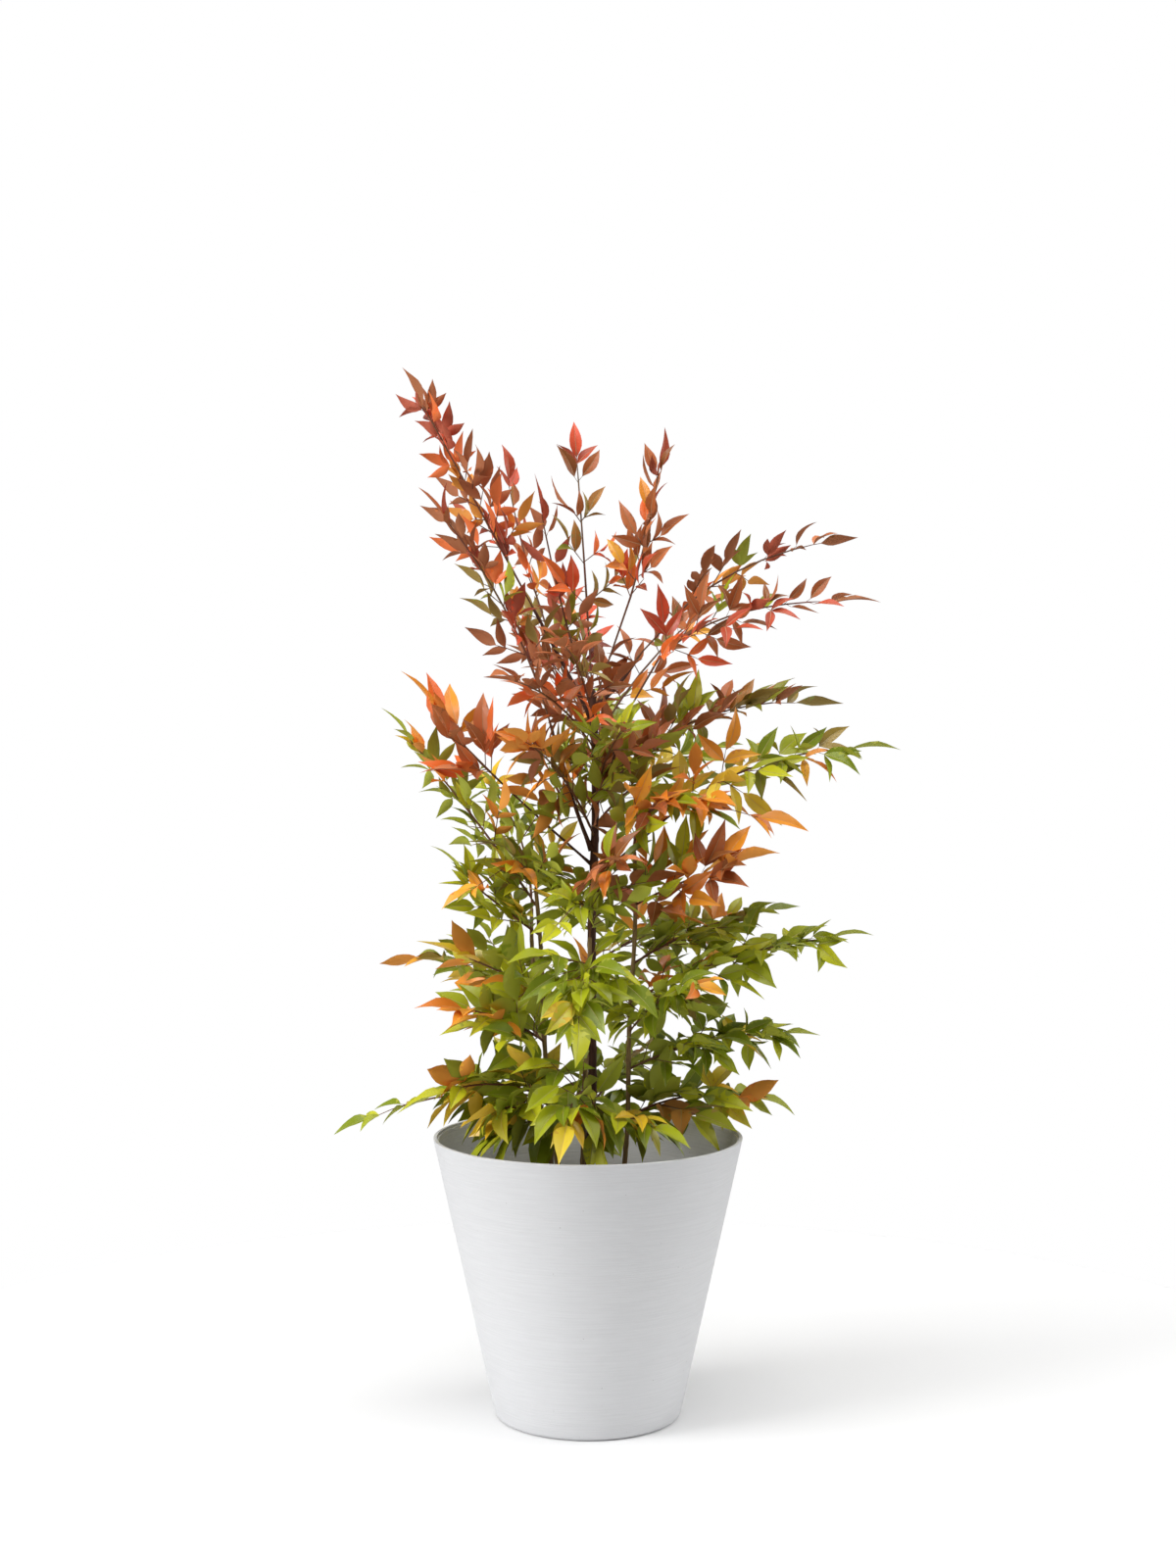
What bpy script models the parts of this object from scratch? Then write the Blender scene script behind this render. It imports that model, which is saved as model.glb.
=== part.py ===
"""Heavenly bamboo in a tapered planter.

A clump of slender canes stands in the soil of the planter. The canes and the bare limbs that fork
from them carry fronds: compound leaves whose stem bears pairs of side twigs, each with small
pointed leaves. Each frond is one mass of foliage, fused into one body.

Metres, +Z up. The origin is the centre of the planter's flat underside, and -Y is the front.
"""

import math
import random
from typing import NamedTuple

import bmesh
import bpy
from mathutils import Matrix, Vector
from mathutils.bvhtree import BVHTree

UP = Vector((0.0, 0.0, 1.0))
CLEARANCE = 0.0003  # left between two pieces that touch
SHARP_EDGE = math.radians(35.0)
SHARP_RIDGE = math.radians(52.0)  # a cane's sides meet at less
NEARLY_UPRIGHT = 0.05  # sine of the angle to the upright axis, under which it gives no sideways
WELD = 0.00001  # corners nearer than this are one
SCRAP_EDGE = 0.000002  # edges shorter than this are none

# Planter
POT_HEIGHT = 0.288
POT_RIM_RADIUS = 0.160
POT_FOOT_RADIUS = 0.0955
POT_CORNER_RADIUS = 0.007
POT_WALL = 0.0060
POT_FLOOR = 0.009
POT_SLOPE = (POT_RIM_RADIUS - POT_FOOT_RADIUS) / POT_HEIGHT
POT_CORNER_STEPS = 3
POT_SIDES = 48
RIM_BEVEL = 0.0010
RIM_BEVEL_OUT = 0.2  # of its height
LIP_WIDTH = 0.0040
LIP_DEPTH = 0.0025
SOIL_BELOW_RIM = 0.062
SOIL_TOP = POT_HEIGHT - SOIL_BELOW_RIM
SLANTED_GAP = 1.1  # a gap measured level, for a wall that slants, of the clear gap

# Canes
CANE_SIDES = 7
CANE_RINGS = 6
FLARE_WIDTH = 1.7  # of the cane's own radius, at the soil
FLARE_HEIGHT = 0.022
FLARE_WAIST = 0.35  # of its height, where the flare has lost most of its width
CROOK = 0.45  # of the sway: how much of it is a second, shorter wave

# Curves of limbs and stems
LOOK_BACK = 0.04  # how far below its top a cane's last heading is taken
LOOK_AHEAD = 0.02  # share of a stem over which its heading is taken
KNEE = 0.5  # how far out the curve's knee lies, of the limb's reach
PROBE = 0.05  # how far outside a cane the search for its surface starts

# Limbs that carry a frond
BOUGH_SIDES = 5
BOUGH_RINGS = 5
BOUGH_RADIUS_AT_CANE = 0.0021
BOUGH_RADIUS_AT_FROND = 0.0016

# Fronds
STEM_RADIUS = 0.0019
STEM_TIP_RADIUS = 0.0012
TWIG_RADIUS = 0.0008
TWIG_TIP_RADIUS = 0.0007
STAGGER = 0.0012  # how far from level with each other the two twigs of a pair stand
LAST_JOINT = 0.90  # share of the stem up to the last pair of twigs
TWIG_SHARE = 0.30  # reach of the longest side twig, of the frond's own reach
SHORTEST_REACH = 1.75  # of the length of a leaf
LONGEST_REACH = 0.110
REACH_LOST = 0.55  # by the last pair of twigs, of the first pair's
REACH_RANGE = (0.90, 1.10)  # of what the rule gives
LEAF_RANGE = (0.88, 1.08)  # the same for the leaves of a twig
TWIG_SPLAY = (50.0, 64.0)  # degrees between a twig and the stem
SPLAY_LOST = 16.0  # by the last pair of twigs
SHORTEST_TWIG = 0.35  # of the length of a leaf
LEAF_SPLAY = (42.0, 58.0)
PAIR_BACK = 0.30  # how far before the end leaf its pair stands, of the length of a leaf
END_LEAF = 1.1  # length of the leaf at the tip, of the others'
ROOT_SUNK = 0.001
LEAST_DROOP = -0.20  # of a small leaf's heading: it points a little upward
DROOP_PER_METRE = 26.0  # more for each metre of a leaf's length over a small one
SMALL_LEAF = 0.040
LEAF_THICKNESS = 0.020  # of its length
SLIM_LEAF = 0.036  # leaves up to this length are the slimmest
SLIM_WIDTH = 0.29  # of its length
BROAD_LEAF = 0.058  # leaves from this length on are the broadest
BROAD_WIDTH = 0.39
LEAF_ROOT = 0.0003  # height of the edge that is sunk in the twig
LEAF_BELLY = 0.42  # where along its length a leaf is widest
LEAF_FOLD = 0.16  # how far its sides rise from the midrib, of its width
LEAF_SWELL = 1.22  # leaves here are fewer than on the plant, and larger by this
GUARD = 0.0006  # room kept round each twig and leaf
TWIG_FOOT = 0.12  # share of a twig, from its root, that may touch its own frond
LEAF_FOOT = 0.16  # the same share of a leaf
TWIG_LIFT = 0.08  # how much of the frond's face is mixed into a twig's heading
PAIR_LEAF = 0.9  # length of a pair's leaves, of the end leaf's
PAIR_STAGGER = 0.6  # of the stagger of twigs
FROND_ROLL = 38.0  # degrees that the plane of a frond may turn about its stem
JOINT_ROLL = 28.0
LEAF_ROLL = 42.0


class Cane(NamedTuple):
    foot: tuple  # x and y where it leaves the soil
    top: tuple
    radii: tuple  # above the flare, and at the top
    sway: float  # how far it strays from a straight line


class Bough(NamedTuple):
    cane: str
    leaves_at: float  # height at which it leaves the cane
    rise: float  # degrees above level at which it sets out
    tip: tuple
    girth: float = 1.0  # of the usual radius


class Frond(NamedTuple):
    carrier: str
    tip: tuple
    pairs: int  # joints that bear a pair of side twigs
    leaf: float  # length of its leaves
    tint: str
    leaves_at: float = None  # height on a cane, or None at the end of its carrier
    rise: float = None  # degrees above level at which it sets out from the side of a cane
    bare: float = 0.24  # share of its stem before the first joint


CANES = {
    "cane_main": Cane((-0.002, 0.004), (0.004, 0.000, 0.750), (0.0047, 0.0038), 0.005),
    "cane_right": Cane((0.034, -0.006), (0.047, -0.034, 0.585), (0.0026, 0.0020), 0.004),
    "cane_left": Cane((-0.038, -0.010), (-0.053, -0.036, 0.545), (0.0026, 0.0020), 0.004),
    "cane_back": Cane((0.004, 0.034), (0.010, 0.082, 0.645), (0.0032, 0.0024), 0.005),
    "cane_front": Cane((-0.007, -0.034), (0.002, -0.074, 0.500), (0.0025, 0.0020), 0.004),
    "cane_rear_left": Cane((-0.026, 0.028), (-0.060, 0.064, 0.520), (0.0026, 0.0020), 0.005),
}

BOUGHS = {
    "bough_upper_left": Bough("cane_main", 0.722, 62, (-0.055, -0.018, 0.830)),
    "bough_second_left": Bough("cane_main", 0.585, 66, (-0.038, -0.020, 0.712)),
    "bough_upper_right": Bough("cane_main", 0.732, 40, (0.050, 0.010, 0.780)),
    "bough_second_right": Bough("cane_main", 0.655, 50, (0.036, -0.012, 0.712)),
    "bough_mid_left": Bough("cane_main", 0.570, 40, (-0.095, -0.028, 0.660), 0.6),
    "bough_low_right": Bough("cane_main", 0.556, 40, (0.085, -0.010, 0.620), 0.6),
}

# The fronds, from the top of the crown to its foot
FRONDS = {
    "frond_upper_left": Frond("bough_upper_left", (-0.187, -0.050, 1.072), 6, 0.040, "crimson"),
    "frond_second_left": Frond("bough_second_left", (-0.168, -0.090, 0.947), 5, 0.040, "bronze"),
    "frond_centre_tall": Frond("cane_main", (-0.015, 0.050, 1.033), 4, 0.040, "bronze", bare=0.36),
    "frond_centre_right": Frond("cane_main", (0.078, -0.030, 1.015), 4, 0.040, "bronze", 0.742, 66, 0.46),
    "frond_upper_right": Frond("bough_upper_right", (0.286, 0.060, 0.912), 5, 0.040, "crimson", bare=0.36),
    "frond_second_right": Frond("bough_second_right", (0.294, -0.060, 0.835), 5, 0.040, "bronze", bare=0.34),
    "frond_centre_left": Frond("cane_main", (-0.055, -0.005, 0.972), 3, 0.042, "crimson", 0.738, 72),
    "frond_sprig_left": Frond("cane_main", (-0.092, 0.070, 1.012), 3, 0.038, "bronze", 0.700, 60),
    "frond_upper_front": Frond("cane_main", (-0.030, -0.190, 0.790), 3, 0.042, "bronze", 0.715, 45),
    "frond_upper_front_left": Frond("cane_main", (-0.094, -0.170, 0.757), 3, 0.044, "crimson", 0.690, 40),
    "frond_upper_back": Frond("cane_main", (-0.030, 0.200, 0.870), 4, 0.040, "crimson", 0.728, 55),
    "frond_upper_back_right": Frond("cane_main", (0.165, 0.170, 0.865), 3, 0.040, "bronze", 0.700, 50),
    "frond_upper_back_left": Frond("cane_main", (-0.088, 0.160, 0.866), 3, 0.040, "bronze", 0.680, 50),
    "frond_mid_left_red": Frond("bough_mid_left", (-0.189, -0.050, 0.767), 3, 0.058, "flame", bare=0.5),
    "frond_mid_left": Frond("cane_left", (-0.215, 0.010, 0.731), 4, 0.046, "green", 0.530, 55, 0.36),
    "frond_mid_left_low": Frond("cane_left", (-0.160, -0.040, 0.590), 3, 0.046, "green", 0.500, 35),
    "frond_mid_left_orange": Frond("cane_left", (-0.144, -0.110, 0.530), 3, 0.050, "orange"),
    "frond_mid_left_front": Frond("cane_main", (-0.082, -0.172, 0.708), 3, 0.054, "olive", 0.600, 50),
    "frond_mid_right": Frond("cane_main", (0.270, 0.050, 0.736), 4, 0.056, "olive", 0.635, 56),
    "frond_mid_right_gold": Frond("bough_low_right", (0.319, -0.030, 0.687), 4, 0.056, "orange"),
    "frond_mid_right_orange": Frond("cane_right", (0.222, -0.060, 0.605), 4, 0.056, "orange"),
    "frond_mid_front": Frond("cane_main", (0.036, -0.200, 0.583), 3, 0.056, "flame", 0.520, 40),
    "frond_mid_front_high": Frond("cane_main", (0.050, -0.180, 0.710), 3, 0.054, "bronze", 0.640, 50),
    "frond_mid_front_right": Frond("cane_right", (0.190, -0.100, 0.585), 3, 0.054, "orange", 0.530, 28),
    "frond_mid_back": Frond("cane_back", (0.020, 0.250, 0.760), 3, 0.048, "olive"),
    "frond_mid_back_left": Frond("cane_rear_left", (-0.150, 0.180, 0.682), 4, 0.048, "green"),
    "frond_mid_back_right": Frond("cane_back", (0.174, 0.180, 0.693), 4, 0.048, "green", 0.610, 45),
    "frond_low_right_top": Frond("cane_right", (0.223, 0.030, 0.523), 3, 0.050, "green", 0.470, 30),
    "frond_low_right_far": Frond("cane_right", (0.293, -0.020, 0.497), 4, 0.052, "green", 0.430, 30),
    "frond_low_right": Frond("cane_right", (0.243, 0.020, 0.389), 3, 0.050, "green", 0.360, 25),
    "frond_low_right_foot": Frond("cane_right", (0.219, 0.050, 0.300), 3, 0.054, "green", 0.310, 25),
    "frond_low_left_orange": Frond("cane_left", (-0.173, -0.060, 0.495), 3, 0.054, "orange", 0.440, 30),
    "frond_low_left": Frond("cane_rear_left", (-0.220, 0.040, 0.462), 3, 0.052, "green", 0.440, 30),
    "frond_low_left_front": Frond("cane_left", (-0.172, -0.100, 0.432), 3, 0.054, "orange", 0.390, 35),
    "frond_low_left_foot": Frond("cane_left", (-0.192, -0.070, 0.322), 3, 0.056, "gold", 0.330, 30),
    "frond_low_left_far": Frond("cane_rear_left", (-0.267, 0.030, 0.283), 3, 0.056, "green", 0.320, 12),
    "frond_low_front_gold": Frond("cane_left", (-0.124, -0.150, 0.322), 3, 0.060, "gold", 0.300, 40),
    "frond_low_front": Frond("cane_front", (-0.028, -0.178, 0.292), 3, 0.056, "green", 0.340, 20),
    "frond_low_front_right": Frond("cane_front", (0.100, -0.140, 0.300), 3, 0.056, "gold", 0.310, 25),
    "frond_low_front_mid": Frond("cane_front", (-0.012, -0.220, 0.390), 3, 0.054, "green", 0.475, 5),
    "frond_low_front_top": Frond("cane_front", (-0.045, -0.205, 0.505), 3, 0.052, "green"),
    "frond_low_right_front": Frond("cane_right", (0.131, -0.160, 0.467), 3, 0.052, "green", 0.400, 40),
    "frond_low_back": Frond("cane_back", (0.000, 0.250, 0.430), 3, 0.052, "green", 0.400, 30),
    "frond_low_back_left": Frond("cane_rear_left", (-0.160, 0.190, 0.440), 3, 0.052, "green", 0.380, 30),
    "frond_low_back_right": Frond("cane_back", (0.180, 0.190, 0.470), 3, 0.052, "green", 0.460, 30),
    "frond_low_back_foot": Frond("cane_back", (0.080, 0.210, 0.330), 3, 0.052, "green", 0.310, 30),
}

# Colour, roughness
FINISHES = {
    "planter": ((0.76, 0.77, 0.78), 0.65),
    "soil": ((0.045, 0.030, 0.020), 0.95),
    "bark": ((0.090, 0.045, 0.030), 0.70),
    "stalk": ((0.160, 0.040, 0.030), 0.55),
    "crimson": ((0.300, 0.050, 0.030), 0.45),
    "bronze": ((0.170, 0.065, 0.030), 0.45),
    "flame": ((0.480, 0.090, 0.020), 0.45),
    "orange": ((0.550, 0.190, 0.015), 0.45),
    "gold": ((0.480, 0.330, 0.020), 0.45),
    "olive": ((0.170, 0.130, 0.025), 0.45),
    "green": ((0.085, 0.130, 0.018), 0.45),
}


class Shape:
    """Corners and faces of a closed body, before it becomes an object."""

    def __init__(self, points, faces):
        self.points = points
        self.faces = faces

    def tree(self):
        return BVHTree.FromPolygons(self.points, self.faces)

    def touches(self, trees):
        own = self.tree()
        return any(own.overlap(tree) for tree in trees)


def clear_scene():
    for thing in list(bpy.data.objects):
        bpy.data.objects.remove(thing, do_unlink=True)


def finish_for(name, look):
    colour, roughness = FINISHES[look]
    material = bpy.data.materials.new(name)
    material.use_nodes = True
    shader = material.node_tree.nodes["Principled BSDF"]
    shader.inputs["Base Color"].default_value = (*colour, 1.0)
    shader.inputs["Roughness"].default_value = roughness
    shader.inputs["Metallic"].default_value = 0.0
    return material


def mesh_from(name, shape):
    mesh = bpy.data.meshes.new(name)
    mesh.from_pydata([tuple(p) for p in shape.points], [], shape.faces)
    return mesh


def add_object(name, mesh, look):
    thing = bpy.data.objects.new(name, mesh)
    thing.data.materials.clear()
    thing.data.materials.append(finish_for(name, look))
    bpy.context.scene.collection.objects.link(thing)
    return thing


def turned(profile, sides):
    """The body that a closed profile of (radius, height) corners sweeps round the upright axis."""
    mesh = bmesh.new()
    corners = [mesh.verts.new((radius, 0.0, height)) for radius, height in profile]
    edges = [mesh.edges.new(pair) for pair in zip(corners, corners[1:])]
    bmesh.ops.spin(
        mesh,
        geom=corners + edges,
        axis=UP,
        cent=(0.0, 0.0, 0.0),
        angle=math.tau,
        steps=sides,
        use_duplicate=False,
    )
    bmesh.ops.remove_doubles(mesh, verts=mesh.verts, dist=WELD)
    bmesh.ops.recalc_face_normals(mesh, faces=mesh.faces)
    return mesh


def pot_profile():
    """From the middle of the underside, up the outside, over the rim and down to the floor."""
    lean = math.atan(POT_SLOPE)
    centre = (
        POT_FOOT_RADIUS + POT_SLOPE * POT_CORNER_RADIUS - POT_CORNER_RADIUS / math.cos(lean),
        POT_CORNER_RADIUS,
    )
    turns = [(math.pi / 2 - lean) * step / POT_CORNER_STEPS for step in range(POT_CORNER_STEPS + 1)]
    corner = [
        (
            centre[0] + POT_CORNER_RADIUS * math.sin(turn),
            centre[1] - POT_CORNER_RADIUS * math.cos(turn),
        )
        for turn in turns
    ]
    return [
        (0.0, 0.0),
        *corner,
        (POT_RIM_RADIUS - RIM_BEVEL * RIM_BEVEL_OUT, POT_HEIGHT - RIM_BEVEL),
        (POT_RIM_RADIUS - RIM_BEVEL, POT_HEIGHT),
        (POT_RIM_RADIUS - LIP_WIDTH, POT_HEIGHT),
        (POT_RIM_RADIUS - LIP_WIDTH, POT_HEIGHT - LIP_DEPTH),
        (inner_radius(POT_HEIGHT), POT_HEIGHT - LIP_DEPTH),
        (inner_radius(POT_FLOOR), POT_FLOOR),
        (0.0, POT_FLOOR),
    ]


def inner_radius(height):
    return POT_FOOT_RADIUS + POT_SLOPE * height - POT_WALL


def make_pot():
    body = turned(pot_profile(), POT_SIDES)
    mesh = bpy.data.meshes.new("pot")
    body.to_mesh(mesh)
    body.free()
    mesh.shade_smooth()
    mesh.set_sharp_from_angle(angle=SHARP_EDGE)
    return add_object("pot", mesh, "planter")


def make_soil():
    floor = POT_FLOOR + CLEARANCE
    gap = CLEARANCE * SLANTED_GAP
    profile = [
        (0.0, floor),
        (inner_radius(floor) - gap, floor),
        (inner_radius(SOIL_TOP) - gap, SOIL_TOP),
        (0.0, SOIL_TOP),
    ]
    body = turned(profile, POT_SIDES)
    mesh = bpy.data.meshes.new("potting_soil")
    body.to_mesh(mesh)
    body.free()
    return add_object("potting_soil", mesh, "soil")


def tube(points, radii, sides, first_cut=None):
    """A tapering round or three-sided body along points. first_cut is the normal of its first end."""
    rings = []
    across = None
    for number, point in enumerate(points):
        before = points[max(number - 1, 0)]
        after = points[min(number + 1, len(points) - 1)]
        along = (after - before).normalized()
        if across is None:
            across = along.cross(UP)
            if across.length < NEARLY_UPRIGHT:
                across = along.cross(Vector((1.0, 0.0, 0.0)))
        across = (across - along * across.dot(along)).normalized()
        upward = across.cross(along)
        ring = []
        for side in range(sides):
            turn = math.tau * side / sides
            spoke = (upward * math.cos(turn) + across * math.sin(turn)) * radii[number]
            if number == 0 and first_cut is not None:
                spoke -= along * (spoke.dot(first_cut) / along.dot(first_cut))
            ring.append(point + spoke)
        rings.append(ring)
    corners = [corner for ring in rings for corner in ring]
    faces = []
    for low in range(0, (len(points) - 1) * sides, sides):
        for side in range(sides):
            beside = (side + 1) % sides
            faces.append((low + side, low + beside, low + sides + beside, low + sides + side))
    faces.append(tuple(range(sides))[::-1])
    faces.append(tuple(range(len(corners) - sides, len(corners))))
    return Shape(corners, faces)


def bend(start, knee, tip, share):
    return start.lerp(knee, share).lerp(knee.lerp(tip, share), share)


def cane_point(name, height):
    """The middle of a cane at a height, on its crooked line from foot to top."""
    cane = CANES[name]
    share = (height - SOIL_TOP) / (cane.top[2] - SOIL_TOP)
    foot = Vector((*cane.foot, SOIL_TOP))
    draw = random.Random(name)
    heading = draw.uniform(0.0, math.tau)
    crook = cane.sway * (math.sin(math.pi * share) + CROOK * math.sin(3.0 * math.pi * share))
    return foot.lerp(Vector(cane.top), share) + Vector(
        (math.cos(heading) * crook, math.sin(heading) * crook, 0.0)
    )


def cane_shape(name):
    cane = CANES[name]
    foot = SOIL_TOP + CLEARANCE
    heights = [foot, foot + FLARE_HEIGHT * FLARE_WAIST, foot + FLARE_HEIGHT]
    rest = cane.top[2] - heights[-1]
    heights += [heights[-1] + rest * (step + 1) / CANE_RINGS for step in range(CANE_RINGS)]
    radii = []
    for height in heights:
        share = (height - foot) / (cane.top[2] - foot)
        flare = max(0.0, 1.0 - (height - foot) / FLARE_HEIGHT) ** 2
        plain = cane.radii[0] + (cane.radii[1] - cane.radii[0]) * share
        radii.append(plain * (1.0 + (FLARE_WIDTH - 1.0) * flare))
    points = [cane_point(name, height) for height in heights]
    return tube(points, radii, CANE_SIDES, first_cut=UP)


def seat_on_cane(name, height, tip, tree):
    """Where a limb that heads for tip starts on a cane, the cane's own surface there, and the heading."""
    middle = cane_point(name, height)
    outward = Vector((tip.x - middle.x, tip.y - middle.y, 0.0)).normalized()
    spot, normal, _, _ = tree.ray_cast(middle + outward * PROBE, -outward)
    return spot + normal * CLEARANCE, normal, outward


def limb_line(carrier, leaves_at, rise, tip, trees, ends):
    """Start, knee and tip of the curve that a bough or frond follows, and the cut at its foot."""
    if leaves_at is None:
        end, along = ends[carrier]
        start = end + along * CLEARANCE
        cut = along
        heading = along
    else:
        start, cut, outward = seat_on_cane(carrier, leaves_at, tip, trees[carrier])
        heading = outward * math.cos(math.radians(rise)) + UP * math.sin(math.radians(rise))
    knee = start + heading * (tip - start).length * KNEE
    return start, knee, tip, cut


def leaf_shape(root, along, face, length, width, root_height=LEAF_ROOT):
    """A pointed blade of eight faces, folded along its midrib, with an upright edge for its root."""
    side = face.cross(along).normalized()
    rise = along.cross(side)
    thick = LEAF_THICKNESS * length
    belly = root + along * length * LEAF_BELLY
    fold = rise * LEAF_FOLD * width
    points = [
        root + rise * root_height * 0.5,
        root - rise * root_height * 0.5,
        belly + side * width * 0.5 + fold,
        belly - side * width * 0.5 + fold,
        belly + rise * thick * 0.5,
        root + along * length,
    ]
    faces = [(0, 4, 2), (4, 5, 2), (0, 3, 4), (4, 3, 5), (1, 2, 5), (1, 5, 3), (0, 2, 1), (0, 1, 3)]
    return Shape(points, faces)


def leaf_width(length):
    """Leaves at the foot of the plant are long and broad, those at the top short and slim."""
    grown = min(1.0, max(0.0, (length - SLIM_LEAF) / (BROAD_LEAF - SLIM_LEAF)))
    return length * (SLIM_WIDTH + (BROAD_WIDTH - SLIM_WIDTH) * grown)


class Stem:
    """The stem of a frond: the curve that it follows, its joints and its tapering body."""

    def __init__(self, name, frond, line):
        self.name = name
        self.start, self.knee, self.tip, cut = line
        self.far = (self.tip - self.start).length
        stop = 1.0 - frond.leaf * END_LEAF / self.far
        step = (LAST_JOINT - frond.bare) / (frond.pairs - 1)
        self.joints = [stop * (frond.bare + step * number) for number in range(frond.pairs)]
        marks = [0.0, self.joints[0] / 2.0, *self.joints, stop]
        self.end = self.at(stop)
        points = [self.at(share) for share in marks]
        radii = [STEM_RADIUS + (STEM_TIP_RADIUS - STEM_RADIUS) * share for share in marks]
        self.shape = tube(points, radii, 3, first_cut=cut)
        self.tree = self.shape.tree()

    def at(self, share):
        return bend(self.start, self.knee, self.tip, share)

    def along(self, share):
        return (self.at(share + LOOK_AHEAD) - self.at(share)).normalized()


class Mass:
    """The twigs and leaves of one frond, which keep clear of each other and of all other pieces."""

    def __init__(self, stem, others):
        self.others = others
        self.pieces = [stem.shape]
        self.trees = [stem.tree]

    def add(self, shape, guard, outer_guard):
        """Keeps a piece that has room round it. Near its root it may touch only its own frond."""
        if guard.touches(self.others) or outer_guard.touches(self.trees):
            return False
        self.pieces.append(shape)
        self.trees.append(shape.tree())
        return True

    def add_twig(self, root, tip):
        beyond = tip + (tip - root).normalized() * GUARD
        radii = [TWIG_RADIUS + GUARD, TWIG_TIP_RADIUS + GUARD]
        guard = tube([root, beyond], radii, 3)
        outer_guard = tube([root.lerp(tip, TWIG_FOOT), beyond], radii, 3)
        return self.add(tube([root, tip], [TWIG_RADIUS, TWIG_TIP_RADIUS], 3), guard, outer_guard)

    def add_leaf(self, root, lean, face, length, swell=LEAF_SWELL):
        size = length * swell
        width = leaf_width(length) * LEAF_SWELL
        guards = [
            leaf_shape(
                root + lean * size * share,
                lean,
                face,
                size * (1.0 - share) + GUARD,
                width + 2.0 * GUARD,
                LEAF_ROOT + 2.0 * GUARD,
            )
            for share in (0.0, LEAF_FOOT)
        ]
        return self.add(leaf_shape(root, lean, face, size, width), *guards)


def rolled(vector, axis, degrees):
    return Matrix.Rotation(math.radians(degrees), 3, axis) @ vector


def grow_twig(mass, draw, root, along, face, reach, leaf, droop):
    """A side twig with a leaf at its end and a pair of leaves before it, or where short a leaf."""

    def add_leaf(foot, heading, length):
        lean = (heading - UP * droop).normalized()
        mass.add_leaf(foot, lean, rolled(face, lean, draw.uniform(-LEAF_ROLL, LEAF_ROLL)), length)

    stem = reach - leaf
    if stem < leaf * SHORTEST_TWIG:
        add_leaf(root, along, leaf)
        return
    tip = root + along * stem
    if not mass.add_twig(root, tip):
        return
    side = face.cross(along).normalized()
    pair_at = tip - along * leaf * PAIR_BACK
    add_leaf(tip - along * ROOT_SUNK, along, leaf)
    for hand in (1.0, -1.0):
        splay = math.radians(draw.uniform(*LEAF_SPLAY))
        heading = along * math.cos(splay) + side * hand * math.sin(splay)
        add_leaf(pair_at + along * hand * STAGGER * PAIR_STAGGER, heading, leaf * PAIR_LEAF)


def grow_frond(stem, frond, others):
    """Pairs of side twigs up a frond's stem, to the leaf that ends at the frond's tip."""
    mass = Mass(stem, others)
    outward = Vector((stem.tip.x - stem.start.x, stem.tip.y - stem.start.y, 0.0)).normalized()
    side = outward.cross(UP)
    end_lean = (stem.tip - stem.end).normalized()
    end_root = stem.end - end_lean * ROOT_SUNK
    mass.add_leaf(end_root, end_lean, side.cross(end_lean), (stem.tip - end_root).length, swell=1.0)
    draw = random.Random(stem.name)
    longest = min(LONGEST_REACH, max(SHORTEST_REACH * frond.leaf, stem.far * TWIG_SHARE))
    droop = LEAST_DROOP + DROOP_PER_METRE * max(0.0, frond.leaf - SMALL_LEAF)
    frond_roll = draw.uniform(-FROND_ROLL, FROND_ROLL)
    for number, share in enumerate(stem.joints):
        along = stem.along(share)
        level = rolled(side, along, frond_roll + draw.uniform(-JOINT_ROLL, JOINT_ROLL))
        face = level.cross(along)
        outer = number / (frond.pairs - 1)
        for hand in (1.0, -1.0):
            twig_draw = random.Random(f"{stem.name} {number} {hand:+.0f}")
            splay = math.radians(twig_draw.uniform(*TWIG_SPLAY) - SPLAY_LOST * outer)
            reach = longest * (1.0 - REACH_LOST * outer) * twig_draw.uniform(*REACH_RANGE)
            leaf = frond.leaf * twig_draw.uniform(*LEAF_RANGE)
            heading = along * math.cos(splay) + level * hand * math.sin(splay) + face * TWIG_LIFT
            foot = stem.at(share) + along * hand * STAGGER
            grow_twig(mass, twig_draw, foot, heading.normalized(), face, reach, leaf, droop)
    return mass


def fused(mass):
    """The mesh of one closed body made of all the pieces of a mass."""
    group = bpy.data.collections.new("pieces")
    parts = []
    for number, shape in enumerate(mass.pieces):
        part = bpy.data.objects.new(f"piece_{number}", mesh_from(f"piece_{number}", shape))
        parts.append(part)
        if number == 0:
            bpy.context.scene.collection.objects.link(part)
        else:
            group.objects.link(part)
    join = parts[0].modifiers.new("Join", "BOOLEAN")
    join.operation = "UNION"
    join.operand_type = "COLLECTION"
    join.collection = group
    join.solver = "EXACT"
    bpy.context.view_layer.update()
    graph = bpy.context.evaluated_depsgraph_get()
    mesh = bpy.data.meshes.new_from_object(parts[0].evaluated_get(graph))
    for part in parts:
        bpy.data.objects.remove(part, do_unlink=True)
    bpy.data.collections.remove(group)
    keep_largest_body(mesh)
    return mesh


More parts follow.
